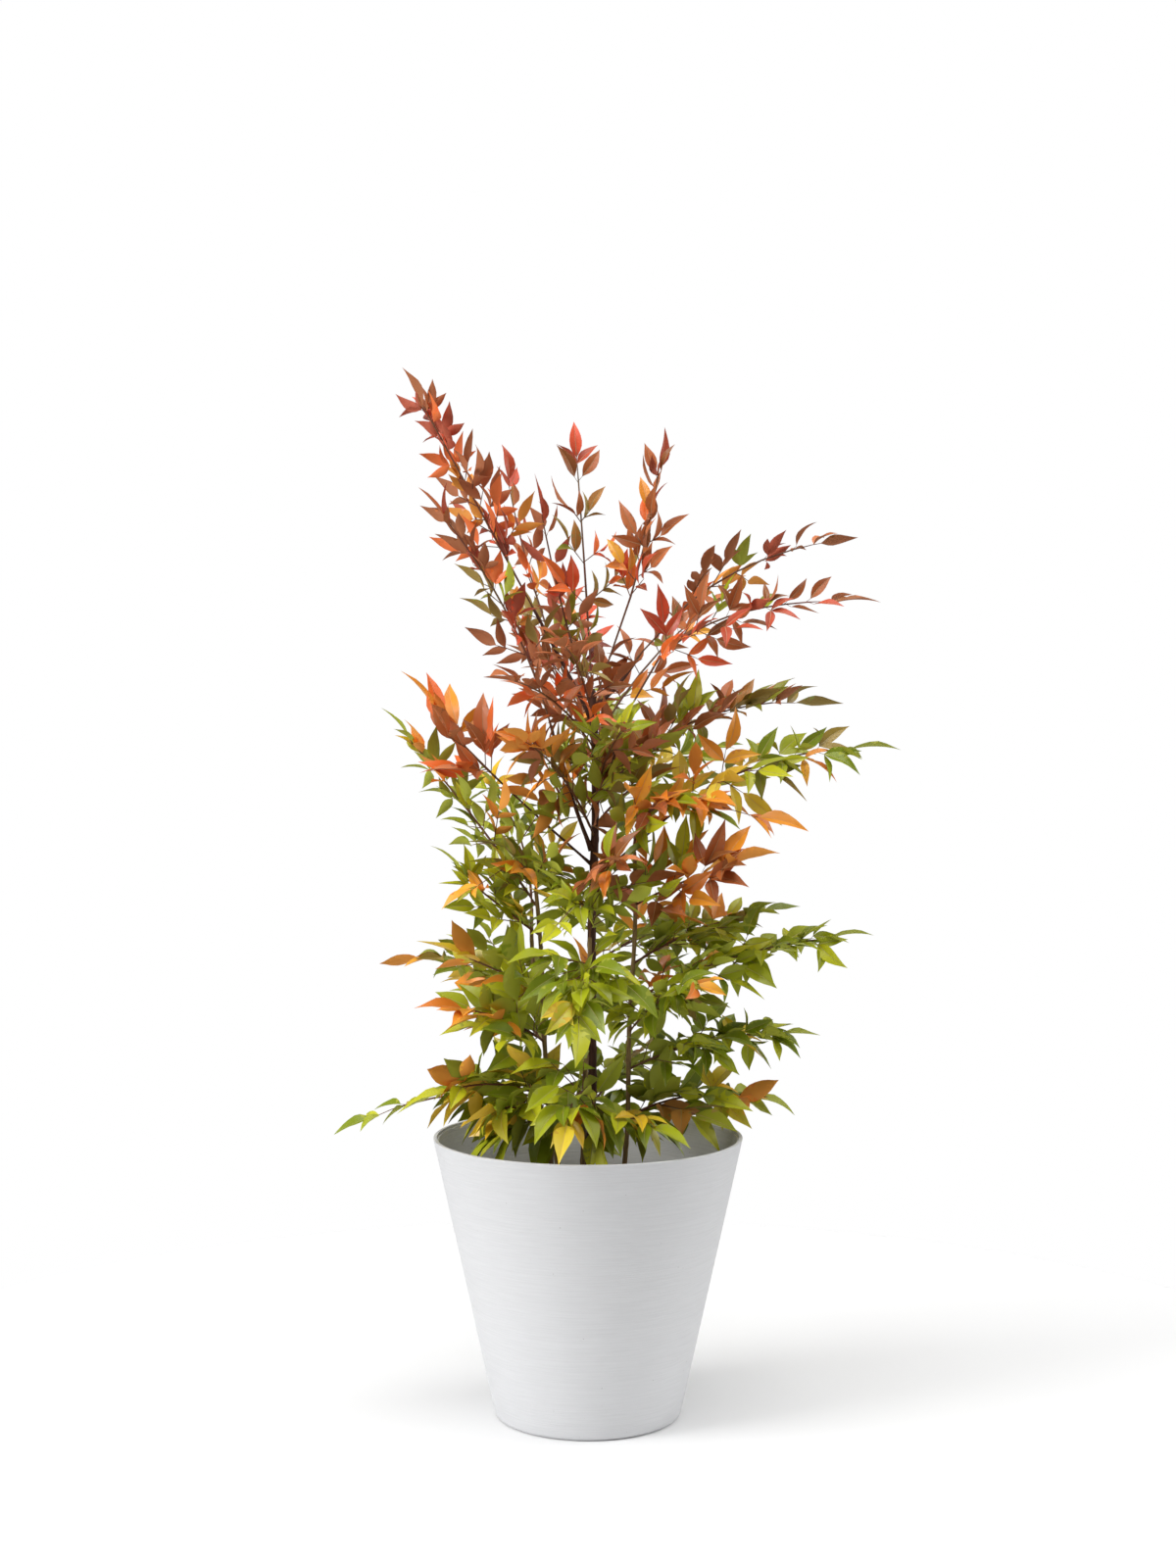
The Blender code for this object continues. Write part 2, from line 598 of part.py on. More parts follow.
def keep_largest_body(mesh):
    """Drops loose scraps, and fills hollows by dropping their walls."""
    body = bmesh.new()
    body.from_mesh(mesh)
    bmesh.ops.dissolve_degenerate(body, dist=SCRAP_EDGE, edges=body.edges)
    unseen = set(body.faces)
    groups = []
    for seed in body.faces:
        if seed not in unseen:
            continue
        unseen.discard(seed)
        found = [seed]
        for face in found:
            for other in (other for edge in face.edges for other in edge.link_faces):
                if other in unseen:
                    unseen.discard(other)
                    found.append(other)
        groups.append(found)
    groups.sort(key=len)
    scraps = [face for group in groups[:-1] for face in group]
    bmesh.ops.delete(body, geom=scraps, context="FACES")
    bmesh.ops.triangulate(body, faces=body.faces)
    body.to_mesh(mesh)
    body.free()


def tree_of(thing):
    mesh = thing.data
    points = [corner.co.copy() for corner in mesh.vertices]
    return BVHTree.FromPolygons(points, [tuple(face.vertices) for face in mesh.polygons])


def make_cane(name, cane):
    shape = cane_shape(name)
    thing = add_object(name, mesh_from(name, shape), "bark")
    thing.data.shade_smooth()
    thing.data.set_sharp_from_angle(angle=SHARP_RIDGE)
    top = Vector(cane.top)
    return shape.tree(), (top, (top - cane_point(name, top.z - LOOK_BACK)).normalized())


def make_bough(name, bough, trees):
    tip = Vector(bough.tip)
    start, knee, tip, cut = limb_line(bough.cane, bough.leaves_at, bough.rise, tip, trees, {})
    shares = [step / (BOUGH_RINGS - 1) for step in range(BOUGH_RINGS)]
    points = [bend(start, knee, tip, share) for share in shares]
    taper = BOUGH_RADIUS_AT_FROND - BOUGH_RADIUS_AT_CANE
    radii = [bough.girth * (BOUGH_RADIUS_AT_CANE + taper * share) for share in shares]
    shape = tube(points, radii, BOUGH_SIDES, first_cut=cut)
    add_object(name, mesh_from(name, shape), "stalk").data.shade_smooth()
    return shape.tree(), (tip, (points[-1] - points[-2]).normalized())


def make_stems(trees, ends):
    """The stems of all fronds come first, so that no twig or leaf grows across one."""
    stems = {}
    for name, frond in FRONDS.items():
        tip = Vector(frond.tip)
        line = limb_line(frond.carrier, frond.leaves_at, frond.rise, tip, trees, ends)
        stem = Stem(name, frond, line)
        others = {**trees, **{key: other.tree for key, other in stems.items()}}
        for other, tree in others.items():
            if stem.tree.overlap(tree):
                raise ValueError(f"the stem of {name} runs into {other}")
        stems[name] = stem
    return stems


def main():
    clear_scene()
    trees = {"pot": tree_of(make_pot()), "potting_soil": tree_of(make_soil())}
    ends = {}
    for name, cane in CANES.items():
        trees[name], ends[name] = make_cane(name, cane)
    for name, bough in BOUGHS.items():
        trees[name], ends[name] = make_bough(name, bough, trees)
    stems = make_stems(trees, ends)
    for name, stem in stems.items():
        trees[name] = stem.tree
    for name, frond in FRONDS.items():
        others = [tree for key, tree in trees.items() if key != name]
        mass = grow_frond(stems[name], frond, others)
        thing = add_object(name, fused(mass), frond.tint)
        trees[name] = tree_of(thing)


main()
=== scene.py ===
"""Heavenly bamboo in a tapered planter, dressed for its portrait.

The canes, limbs and stems follow the same sizes and the same seeded rule as the solids that they
replace. From them grow finer twigs with leaves of their true size, within the same reach.

Lengths are in metres and angles in degrees, +Z up. The origin is the centre of the planter's flat
underside, and -Y is the front.
"""

import math
import random
from collections import defaultdict
from functools import lru_cache
from typing import NamedTuple

import bmesh
import bpy
import numpy as np
from bpy.props import FloatProperty, FloatVectorProperty, PointerProperty
from mathutils import Matrix, Vector, noise
from mathutils.bvhtree import BVHTree


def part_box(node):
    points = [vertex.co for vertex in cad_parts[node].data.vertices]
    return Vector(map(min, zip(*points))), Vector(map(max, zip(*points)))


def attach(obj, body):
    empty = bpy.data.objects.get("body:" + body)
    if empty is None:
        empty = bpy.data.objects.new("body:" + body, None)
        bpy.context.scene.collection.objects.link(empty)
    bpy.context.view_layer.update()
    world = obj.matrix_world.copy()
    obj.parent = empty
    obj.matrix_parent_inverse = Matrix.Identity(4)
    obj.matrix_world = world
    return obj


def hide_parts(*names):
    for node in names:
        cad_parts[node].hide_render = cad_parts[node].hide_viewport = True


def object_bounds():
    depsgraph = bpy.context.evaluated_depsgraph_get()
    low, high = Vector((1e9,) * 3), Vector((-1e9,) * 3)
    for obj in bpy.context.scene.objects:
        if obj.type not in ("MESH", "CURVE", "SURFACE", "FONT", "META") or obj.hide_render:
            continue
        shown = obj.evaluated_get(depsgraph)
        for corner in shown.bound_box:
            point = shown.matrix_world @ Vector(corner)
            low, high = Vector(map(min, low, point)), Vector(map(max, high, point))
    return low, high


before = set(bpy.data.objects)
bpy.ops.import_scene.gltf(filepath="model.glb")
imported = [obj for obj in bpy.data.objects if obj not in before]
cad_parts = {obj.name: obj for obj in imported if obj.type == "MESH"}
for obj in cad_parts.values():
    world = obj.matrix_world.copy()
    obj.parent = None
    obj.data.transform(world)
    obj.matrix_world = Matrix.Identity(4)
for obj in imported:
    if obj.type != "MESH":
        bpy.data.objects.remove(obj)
CAD_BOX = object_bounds()

bl_info = {
    "name": "Heavenly Bamboo in a Planter",
    "version": (1, 0, 0),
    "blender": (4, 5, 0),
    "location": "View3D > Sidebar > Plant",
    "description": "Builds a heavenly bamboo with its tapered planter, and a plain studio stage",
    "category": "Object",
}

UP = Vector((0.0, 0.0, 1.0))
SUNNY_SIDE = Vector((-0.30, -0.85, 0.43))  # some fronds turn their leaves to it
HANDS = (1.0, -1.0)  # the two sides of a stem, in the order in which they grow
BODY = "root"
CLEARANCE = 0.0003  # between the solids of two pieces that touch

PLANTER_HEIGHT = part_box("pot")[1].z
SOIL_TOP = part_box("potting_soil")[1].z

# Canes
FLARE_WIDTH = 1.7  # at the soil, of the cane's own width
FLARE_HEIGHT = 0.022
CROOK = 0.45  # the smaller bends, of the sway
SUNK_IN_SOIL = 0.006

# Limbs that carry a frond
BOUGH_RADIUS = (0.0021, 0.0016)  # at its cane, and at its frond

# The rule of the fronds, which the solids follow too
UNDER_SKIN = 0.9  # of a cane's radius, where a limb starts
KNEE = 0.5  # of a limb's length, where its curve turns
HEADING_BELOW = 0.04  # a cane's end heads the way that its last stretch of this length does
HEADING_FROM = 0.75  # the same for a bough, as the share where the stretch begins
HEADING_AHEAD = 0.02  # the same at a joint, as the share of the stem past it
LAST_JOINT = 0.90  # share of a stem where its last twigs stand
TWIG_SHARE = 0.30  # how far a twig reaches, of its frond's length
SHORTEST_REACH = 1.75  # the least of that, in lengths of a leaf
LONGEST_REACH = 0.110
REACH_LOST = 0.55  # towards the tip of the frond
REACH_VARIES = (0.9, 1.1)
LEAF_VARIES = (0.88, 1.08)
TWIG_SPLAY = (50.0, 64.0)
TWIG_LIFT = 0.08
SPLAY_LOST = 16.0
SHORTEST_TWIG = 0.35  # in lengths of a leaf, for a twig that bears pairs
LEAF_SPLAY = (42.0, 58.0)
PAIR_BACK = 0.30  # from the end of a twig to its first pair, in lengths of a leaf
END_LEAF = 1.1
LEAST_DROOP = -0.20
DROOP_PER_METRE = 26.0  # of what a leaf is longer than a small one
SMALL_LEAF = 0.040
STAGGER = 0.0012  # between the two twigs of a pair, along the stem
FROND_ROLL = 38.0
JOINT_ROLL = 28.0
LEAF_ROLL = 42.0

# Stems, twigs and stalks of the finer growth
STEM_RADIUS = (0.00090, 0.00036)  # at the foot of a frond, and at its tip
TWIG_RADIUS = (0.00044, 0.00028)
STALK_RADIUS = (0.00032, 0.00022)
STALK_SIDES = 5
STEM_SUNK = 0.0012
SOCKET_SWELL = (1.7, 1.5)  # below and above the place where a stem leaves its carrier
SOCKET_END = 0.04
JOINT_SWELL = 1.65
TWIG_SAG = (-0.02, 0.06)  # of the twig's own length
TWIG_SPARE = 0.001  # what a tip keeps from the box that the plant fills
SPRIG_SPARE = 0.002

# Where its twigs and leaves stand
FINE_ROLL = 34.0
FINE_REACH = 0.88  # of a twig between two joints of the solids
LAST_FINE_JOINT = 0.985
INNER_JOINTS = (0.08, 0.15)  # shares of the stem, where twigs of the solids have not begun
INNER_REACH = 0.80
LEAST_INNER = 0.045  # fronds with smaller leaves have a bare stem there
PAIR_STEP = 0.50  # between two pairs of leaves on a twig, of the length of a leaf
LAST_PAIR = 0.90
TWIG_OFFSET = 0.6  # offsets along a twig, of those along a stem
SPRIG_FROM = 1.3  # leaf lengths from a twig's end, past which a sprig may take a leaf's place
SPRIG_CHANCE = 0.55
SPRIG_STALK = (0.38, 0.55)  # lengths in a sprig, of its leaf's
SPRIG_LEAF = 0.92
SPRIG_SIDES = 0.74
SPRIG_BACK = 0.10
THREE_LEAF = (0.80, 1.0)
THREE_STALK = 0.20  # a short twig is this long, of its leaf's length, and ends in three leaves
THREE_SIDES = 0.76  # length of the two side leaves, of the middle one's
SIDES_VARY = (0.9, 1.1)
PAIR_LEAF = (0.74, 0.92)
TIP_LEAF = 1.06  # lengths of the leaf at a frond's tip and of the two beside it, of the usual
TIP_SIDES = (0.7, 0.85)
UPRIGHT = 0.12  # a frond whose tip lies no further out stands upright
LONE_FROM = 0.92  # how far up a frond of the crown its short twigs bear one leaf, not three
LONE_FROM_UPRIGHT = 0.50  # the same on an upright frond
NEVER_LONE = 1.1  # no joint is that far up

# Sizes and colours of the leaves
USUAL_LEAF = 0.041  # the longest of the usual leaves
LARGE_LEAF = 0.053  # leaves of the solids that are longer than this are of true length
SLIM = 0.34  # width of a leaf in the crown, of its length
BROAD = 0.43  # the same at the foot of the plant
BROAD_BELOW = (0.42, 0.62)  # heights between which leaves pass from broad to slim
WIDTH_VARIES = (0.88, 1.10)
ARCH_VARIES = (0.2, 1.5)
LEAF_TWIST = 0.5  # in radians, from root to tip
LEAF_SICKLE = 0.05
FACING_OUT = 1.2  # how far an upper side turns away from the middle of the plant, and upwards
FACING_UP = 0.3
TURNED_INSIDE = 0.15  # share of the sprays at a frond's foot that wear the colours of its tip
SHADES = (0, 0, 1, 2)  # how often a leaf wears each shade of its tint
DEEP_SHADES = (0, 1, 1, 2)  # the same low on the plant
DEEP_BELOW = 0.40

# How a leaf finds room among the others
LEAF_TRIES = 5
ROLL_GAIN = 0.35  # what each try adds to its roll and to its lean
LEAN_GAIN = 0.30
LEAF_SPARE = 0.0012
NEIGHBOURS_WITHIN = 0.03

# Outline of a leaf: how far along it, and how wide there, of its full width
LEAF_OUTLINE = (
    (0.00, 0.05),
    (0.05, 0.22),
    (0.14, 0.62),
    (0.26, 0.92),
    (0.39, 1.00),
    (0.55, 0.88),
    (0.71, 0.58),
    (0.87, 0.22),
    (1.00, 0.00),
)
VEIN_WIDTH = 0.00045

# The surface of a leaf has three parts, numbered by the first of their materials
UPPER, MIDRIB, UNDERSIDE = 0, 3, 4
# Columns of corners across it: their part, and their place as a share of half its width
LEAF_COLUMNS = (
    *((UPPER, place) for place in (-1.0, -0.5, 0.0, 0.0, 0.5, 1.0)),
    *((MIDRIB, place) for place in (-1.0, 1.0)),
    *((UNDERSIDE, place) for place in (-1.0, 0.0, 1.0)),
)
LEAF_STRIPS = ((0, 1), (1, 2), (3, 4), (4, 5), (6, 7), (9, 8), (10, 9))  # between two columns


class Cane(NamedTuple):
    """A cane's foot at the soil, its top, the radii at both, and how far it sways."""

    foot: tuple
    top: tuple
    radii: tuple
    sway: float


class Bough(NamedTuple):
    """It leaves its cane at a height, rises at an angle, and ends where fronds begin."""

    cane: str
    leaves_at: float
    rise: float
    tip: tuple
    girth: float = 1.0


class Frond(NamedTuple):
    """It leaves its carrier at a height and an angle, or else goes on from its carrier's end."""

    carrier: str
    tip: tuple
    pairs: int
    leaf: float  # length of a leaf in the solids
    tint: str
    leaves_at: float = None
    rise: float = None
    bare: float = 0.24  # share of the stem below its first pair


CANES = {
    "cane_main": Cane((-0.002, 0.004), (0.004, 0.000, 0.750), (0.0047, 0.0038), 0.005),
    "cane_right": Cane((0.034, -0.006), (0.047, -0.034, 0.585), (0.0026, 0.0020), 0.004),
    "cane_left": Cane((-0.038, -0.010), (-0.053, -0.036, 0.545), (0.0026, 0.0020), 0.004),
    "cane_back": Cane((0.004, 0.034), (0.010, 0.082, 0.645), (0.0032, 0.0024), 0.005),
    "cane_front": Cane((-0.007, -0.034), (0.002, -0.074, 0.500), (0.0025, 0.0020), 0.004),
    "cane_rear_left": Cane((-0.026, 0.028), (-0.060, 0.064, 0.520), (0.0026, 0.0020), 0.005),
}
OLD_CANES = ["cane_main", "cane_back"]
YOUNG_CANES = ["cane_right", "cane_left", "cane_front", "cane_rear_left"]

BOUGHS = {
    "bough_upper_left": Bough("cane_main", 0.722, 62, (-0.055, -0.018, 0.830)),
    "bough_second_left": Bough("cane_main", 0.585, 66, (-0.038, -0.020, 0.712)),
    "bough_upper_right": Bough("cane_main", 0.732, 40, (0.050, 0.010, 0.780)),
    "bough_second_right": Bough("cane_main", 0.655, 50, (0.036, -0.012, 0.712)),
    "bough_mid_left": Bough("cane_main", 0.570, 40, (-0.095, -0.028, 0.660), 0.6),
    "bough_low_right": Bough("cane_main", 0.556, 40, (0.085, -0.010, 0.620), 0.6),
}

FRONDS = {
    "frond_upper_left": Frond("bough_upper_left", (-0.187, -0.050, 1.072), 6, 0.040, "crimson"),
    "frond_second_left": Frond("bough_second_left", (-0.168, -0.090, 0.947), 5, 0.040, "bronze"),
    "frond_centre_tall": Frond("cane_main", (-0.015, 0.050, 1.033), 4, 0.040, "bronze", bare=0.36),
    "frond_centre_right": Frond("cane_main", (0.078, -0.030, 1.015), 4, 0.040, "bronze", 0.742, 66, 0.46),
    "frond_upper_right": Frond("bough_upper_right", (0.286, 0.060, 0.912), 5, 0.040, "crimson", bare=0.36),
    "frond_second_right": Frond("bough_second_right", (0.294, -0.060, 0.835), 5, 0.040, "bronze", bare=0.34),
    "frond_centre_left": Frond("cane_main", (-0.055, -0.005, 0.972), 3, 0.042, "crimson", 0.738, 72),
    "frond_sprig_left": Frond("cane_main", (-0.092, 0.070, 1.012), 3, 0.038, "bronze", 0.700, 60),
    "frond_upper_front": Frond("cane_main", (-0.030, -0.190, 0.790), 3, 0.042, "bronze", 0.715, 45),
    "frond_upper_front_left": Frond("cane_main", (-0.094, -0.170, 0.757), 3, 0.044, "crimson", 0.690, 40),
    "frond_upper_back": Frond("cane_main", (-0.030, 0.200, 0.870), 4, 0.040, "crimson", 0.728, 55),
    "frond_upper_back_right": Frond("cane_main", (0.165, 0.170, 0.865), 3, 0.040, "bronze", 0.700, 50),
    "frond_upper_back_left": Frond("cane_main", (-0.088, 0.160, 0.866), 3, 0.040, "bronze", 0.680, 50),
    "frond_mid_left_red": Frond("bough_mid_left", (-0.189, -0.050, 0.767), 3, 0.058, "flame", bare=0.5),
    "frond_mid_left": Frond("cane_left", (-0.215, 0.010, 0.731), 4, 0.046, "green", 0.530, 55, 0.36),
    "frond_mid_left_low": Frond("cane_left", (-0.160, -0.040, 0.590), 3, 0.046, "green", 0.500, 35),
    "frond_mid_left_orange": Frond("cane_left", (-0.144, -0.110, 0.530), 3, 0.050, "orange"),
    "frond_mid_left_front": Frond("cane_main", (-0.082, -0.172, 0.708), 3, 0.054, "olive", 0.600, 50),
    "frond_mid_right": Frond("cane_main", (0.270, 0.050, 0.736), 4, 0.056, "olive", 0.635, 56),
    "frond_mid_right_gold": Frond("bough_low_right", (0.319, -0.030, 0.687), 4, 0.056, "orange"),
    "frond_mid_right_orange": Frond("cane_right", (0.222, -0.060, 0.605), 4, 0.056, "orange"),
    "frond_mid_front": Frond("cane_main", (0.036, -0.200, 0.583), 3, 0.056, "flame", 0.520, 40),
    "frond_mid_front_high": Frond("cane_main", (0.050, -0.180, 0.710), 3, 0.054, "bronze", 0.640, 50),
    "frond_mid_front_right": Frond("cane_right", (0.190, -0.100, 0.585), 3, 0.054, "orange", 0.530, 28),
    "frond_mid_back": Frond("cane_back", (0.020, 0.250, 0.760), 3, 0.048, "olive"),
    "frond_mid_back_left": Frond("cane_rear_left", (-0.150, 0.180, 0.682), 4, 0.048, "green"),
    "frond_mid_back_right": Frond("cane_back", (0.174, 0.180, 0.693), 4, 0.048, "green", 0.610, 45),
    "frond_low_right_top": Frond("cane_right", (0.223, 0.030, 0.523), 3, 0.050, "green", 0.470, 30),
    "frond_low_right_far": Frond("cane_right", (0.293, -0.020, 0.497), 4, 0.052, "green", 0.430, 30),
    "frond_low_right": Frond("cane_right", (0.243, 0.020, 0.389), 3, 0.050, "green", 0.360, 25),
    "frond_low_right_foot": Frond("cane_right", (0.219, 0.050, 0.300), 3, 0.054, "green", 0.310, 25),
    "frond_low_left_orange": Frond("cane_left", (-0.173, -0.060, 0.495), 3, 0.054, "orange", 0.440, 30),
    "frond_low_left": Frond("cane_rear_left", (-0.220, 0.040, 0.462), 3, 0.052, "green", 0.440, 30),
    "frond_low_left_front": Frond("cane_left", (-0.172, -0.100, 0.432), 3, 0.054, "orange", 0.390, 35),
    "frond_low_left_foot": Frond("cane_left", (-0.192, -0.070, 0.322), 3, 0.056, "gold", 0.330, 30),
    "frond_low_left_far": Frond("cane_rear_left", (-0.267, 0.030, 0.283), 3, 0.056, "green", 0.320, 12),
    "frond_low_front_gold": Frond("cane_left", (-0.124, -0.150, 0.322), 3, 0.060, "gold", 0.300, 40),
    "frond_low_front": Frond("cane_front", (-0.028, -0.178, 0.292), 3, 0.056, "green", 0.340, 20),
    "frond_low_front_right": Frond("cane_front", (0.100, -0.140, 0.300), 3, 0.056, "gold", 0.310, 25),
    "frond_low_front_mid": Frond("cane_front", (-0.012, -0.220, 0.390), 3, 0.054, "green", 0.475, 5),
    "frond_low_front_top": Frond("cane_front", (-0.045, -0.205, 0.505), 3, 0.052, "green"),
    "frond_low_right_front": Frond("cane_right", (0.131, -0.160, 0.467), 3, 0.052, "green", 0.400, 40),
    "frond_low_back": Frond("cane_back", (0.000, 0.250, 0.430), 3, 0.052, "green", 0.400, 30),
    "frond_low_back_left": Frond("cane_rear_left", (-0.160, 0.190, 0.440), 3, 0.052, "green", 0.380, 30),
    "frond_low_back_right": Frond("cane_back", (0.180, 0.190, 0.470), 3, 0.052, "green", 0.460, 30),
    "frond_low_back_foot": Frond("cane_back", (0.080, 0.210, 0.330), 3, 0.052, "green", 0.310, 30),
}


class Tint(NamedTuple):
    """A season's colour: its gloss, three shades, and the sprays at a frond's tip and at its foot."""

    gloss: float
    shades: tuple
    outer: dict
    inner: dict


class Habit(NamedTuple):
    """What sets one frond apart from the rule."""

    leaf: float = None  # true length of its leaves
    droop: float = None
    step: float = 1.0  # between its joints, of the usual
    lone: float = None  # how far up it single leaves take the place of twigs
    turned: float = 0.0  # how far its twigs turn their upper side to the sunny side
    outer: dict = None  # tints of its sprays at the tip, and at the foot
    inner: dict = None


TINTS = {
    "crimson": Tint(
        0.36,
        ((0.54, 0.080, 0.030), (0.78, 0.100, 0.036), (0.28, 0.050, 0.024)),
        {"crimson": 0.58, "bronze": 0.34, "flame": 0.08},
        {"crimson": 0.18, "flame": 0.26, "bronze": 0.22, "orange": 0.20, "olive": 0.10, "green": 0.04},
    ),
    "bronze": Tint(
        0.36,
        ((0.46, 0.128, 0.034), (0.31, 0.100, 0.024), (0.64, 0.205, 0.070)),
        {"bronze": 0.62, "crimson": 0.28, "olive": 0.10},
        {"bronze": 0.28, "crimson": 0.10, "flame": 0.20, "olive": 0.16, "green": 0.08, "orange": 0.18},
    ),
    "flame": Tint(
        0.45,
        ((0.98, 0.190, 0.026), (0.84, 0.110, 0.030), (0.98, 0.340, 0.050)),
        {"flame": 0.58, "orange": 0.26, "bronze": 0.16},
        {"flame": 0.20, "orange": 0.20, "bronze": 0.35, "green": 0.25},
    ),
    "orange": Tint(
        0.50,
        ((0.92, 0.340, 0.026), (0.82, 0.230, 0.022), (0.96, 0.460, 0.034)),
        {"orange": 0.70, "gold": 0.16, "green": 0.14},
        {"orange": 0.12, "olive": 0.08, "gold": 0.08, "green": 0.72},
    ),
    "gold": Tint(
        0.55,
        ((0.84, 0.530, 0.018), (0.86, 0.640, 0.040), (0.58, 0.520, 0.026)),
        {"gold": 0.60, "green": 0.36, "orange": 0.04},
        {"gold": 0.18, "green": 0.80, "orange": 0.02},
    ),
    "olive": Tint(
        0.45,
        ((0.34, 0.225, 0.026), (0.48, 0.200, 0.034), (0.29, 0.300, 0.018)),
        {"olive": 0.48, "green": 0.18, "orange": 0.20, "bronze": 0.14},
        {"olive": 0.34, "green": 0.48, "orange": 0.10, "bronze": 0.08},
    ),
    "green": Tint(
        0.46,
        ((0.400, 0.445, 0.010), (0.235, 0.300, 0.007), (0.58, 0.590, 0.016)),
        {"green": 0.75, "olive": 0.04, "gold": 0.13, "orange": 0.08},
        {"green": 0.88, "olive": 0.03, "gold": 0.07, "orange": 0.02},
    ),
}
HABITS = {
    "frond_upper_left": Habit(step=0.92, lone=NEVER_LONE),
    "frond_second_left": Habit(step=0.95),
    "frond_centre_tall": Habit(step=1.7),
    "frond_centre_left": Habit(step=1.5),
    "frond_sprig_left": Habit(step=1.5),
    "frond_upper_back": Habit(step=1.7),
    "frond_upper_back_left": Habit(step=1.5),
    "frond_upper_back_right": Habit(step=2.2),
    "frond_mid_right": Habit(
        leaf=0.050, droop=-0.45, turned=0.5,
        outer={"olive": 0.44, "bronze": 0.44, "green": 0.12},
        inner={"olive": 0.42, "bronze": 0.26, "green": 0.22, "orange": 0.10},
    ),
    "frond_mid_right_gold": Habit(
        leaf=0.050, droop=0.25, turned=0.6,
        outer={"green": 0.84, "olive": 0.16},
        inner={"gold": 0.40, "orange": 0.30, "green": 0.30},
    ),
    "frond_mid_right_orange": Habit(
        leaf=0.050, droop=0.45, turned=0.8,
        outer={"orange": 0.80, "bronze": 0.20},
        inner={"green": 0.62, "orange": 0.20, "bronze": 0.18},
    ),
    "frond_mid_left_red": Habit(
        leaf=0.054, droop=-0.50, step=0.7, lone=0.05, turned=1.4,
        outer={"flame": 0.90, "orange": 0.10},
        inner={"flame": 0.45, "orange": 0.20, "bronze": 0.35},
    ),
    "frond_mid_left": Habit(leaf=0.044, step=1.3, turned=0.5),
    "frond_mid_left_front": Habit(
        leaf=0.046, droop=-0.20, step=0.8,
        outer={"bronze": 0.36, "orange": 0.34, "olive": 0.10, "green": 0.20},
        inner={"bronze": 0.26, "orange": 0.14, "olive": 0.16, "green": 0.44},
    ),
    "frond_mid_front_high": Habit(
        leaf=0.036, droop=-0.20,
        outer={"bronze": 0.28, "olive": 0.42, "green": 0.30},
        inner={"olive": 0.30, "bronze": 0.10, "green": 0.60},
    ),
    "frond_mid_front": Habit(
        leaf=0.044, droop=0.10,
        outer={"bronze": 0.50, "orange": 0.30, "olive": 0.20},
        inner={"bronze": 0.20, "orange": 0.10, "green": 0.70},
    ),
    "frond_mid_front_right": Habit(
        leaf=0.050, droop=-0.25, turned=0.8,
        outer={"orange": 0.70, "bronze": 0.30},
        inner={"orange": 0.34, "bronze": 0.20, "green": 0.46},
    ),
    "frond_low_right": Habit(droop=0.35, step=0.8),
    "frond_low_right_front": Habit(droop=0.45, step=0.75),
    "frond_low_right_far": Habit(turned=0.3),
    "frond_low_left_orange": Habit(
        leaf=0.054, droop=0.0, step=1.4, lone=0.3, turned=1.0,
        outer={"orange": 0.50, "gold": 0.50},
        inner={"green": 0.92, "gold": 0.08},
    ),
    "frond_low_left_front": Habit(
        leaf=0.052, droop=0.10, step=1.1, lone=0.6, turned=0.7,
        outer={"orange": 0.60, "gold": 0.20, "green": 0.20},
        inner={"green": 0.96, "gold": 0.04},
    ),
    "frond_low_left_foot": Habit(leaf=0.058, droop=0.25, step=0.8),
    "frond_low_left_far": Habit(leaf=0.042, step=1.7, lone=0.2),
    "frond_low_front_mid": Habit(
        leaf=0.048, droop=0.45, step=0.8,
        outer={"green": 0.90, "gold": 0.10},
        inner={"green": 0.95, "gold": 0.05},
    ),
    "frond_low_front_gold": Habit(leaf=0.058, droop=0.85),
    "frond_low_front": Habit(leaf=0.047, droop=0.85),
    "frond_low_front_right": Habit(
        leaf=0.048, droop=0.60, step=1.7,
        outer={"green": 0.72, "gold": 0.28},
        inner={"green": 0.85, "gold": 0.15},
    ),
}
PLAIN_HABIT = Habit()
UNDERSIDE_GREY = (0.36, 0.30, 0.22)
VEIN_PALE = (0.62, 0.50, 0.28)


# Settings that a user would change


class PlanterSettings(bpy.types.PropertyGroup):
    height: FloatProperty(
        name="Height", description="Height of the planter", default=PLANTER_HEIGHT, unit="LENGTH"
    )
    rim_radius: FloatProperty(
        name="Rim radius", description="Outer radius at the rim", default=0.160, unit="LENGTH"
    )
    foot_radius: FloatProperty(
        name="Foot radius", description="Outer radius at the foot", default=0.0955, unit="LENGTH"
    )
    wall: FloatProperty(
        name="Wall", description="Thickness of the wall", default=0.006, unit="LENGTH"
    )
    colour: FloatVectorProperty(
        name="Colour",
        description="Colour of the planter",
        default=(0.72, 0.725, 0.738),
        subtype="COLOR",
        min=0.0,
        max=1.0,
    )
    line_contrast: FloatProperty(
        name="Brush lines",
        description="How strongly the fine level lines show",
        default=0.26,
        subtype="FACTOR",
        min=0.0,
        max=1.0,
    )


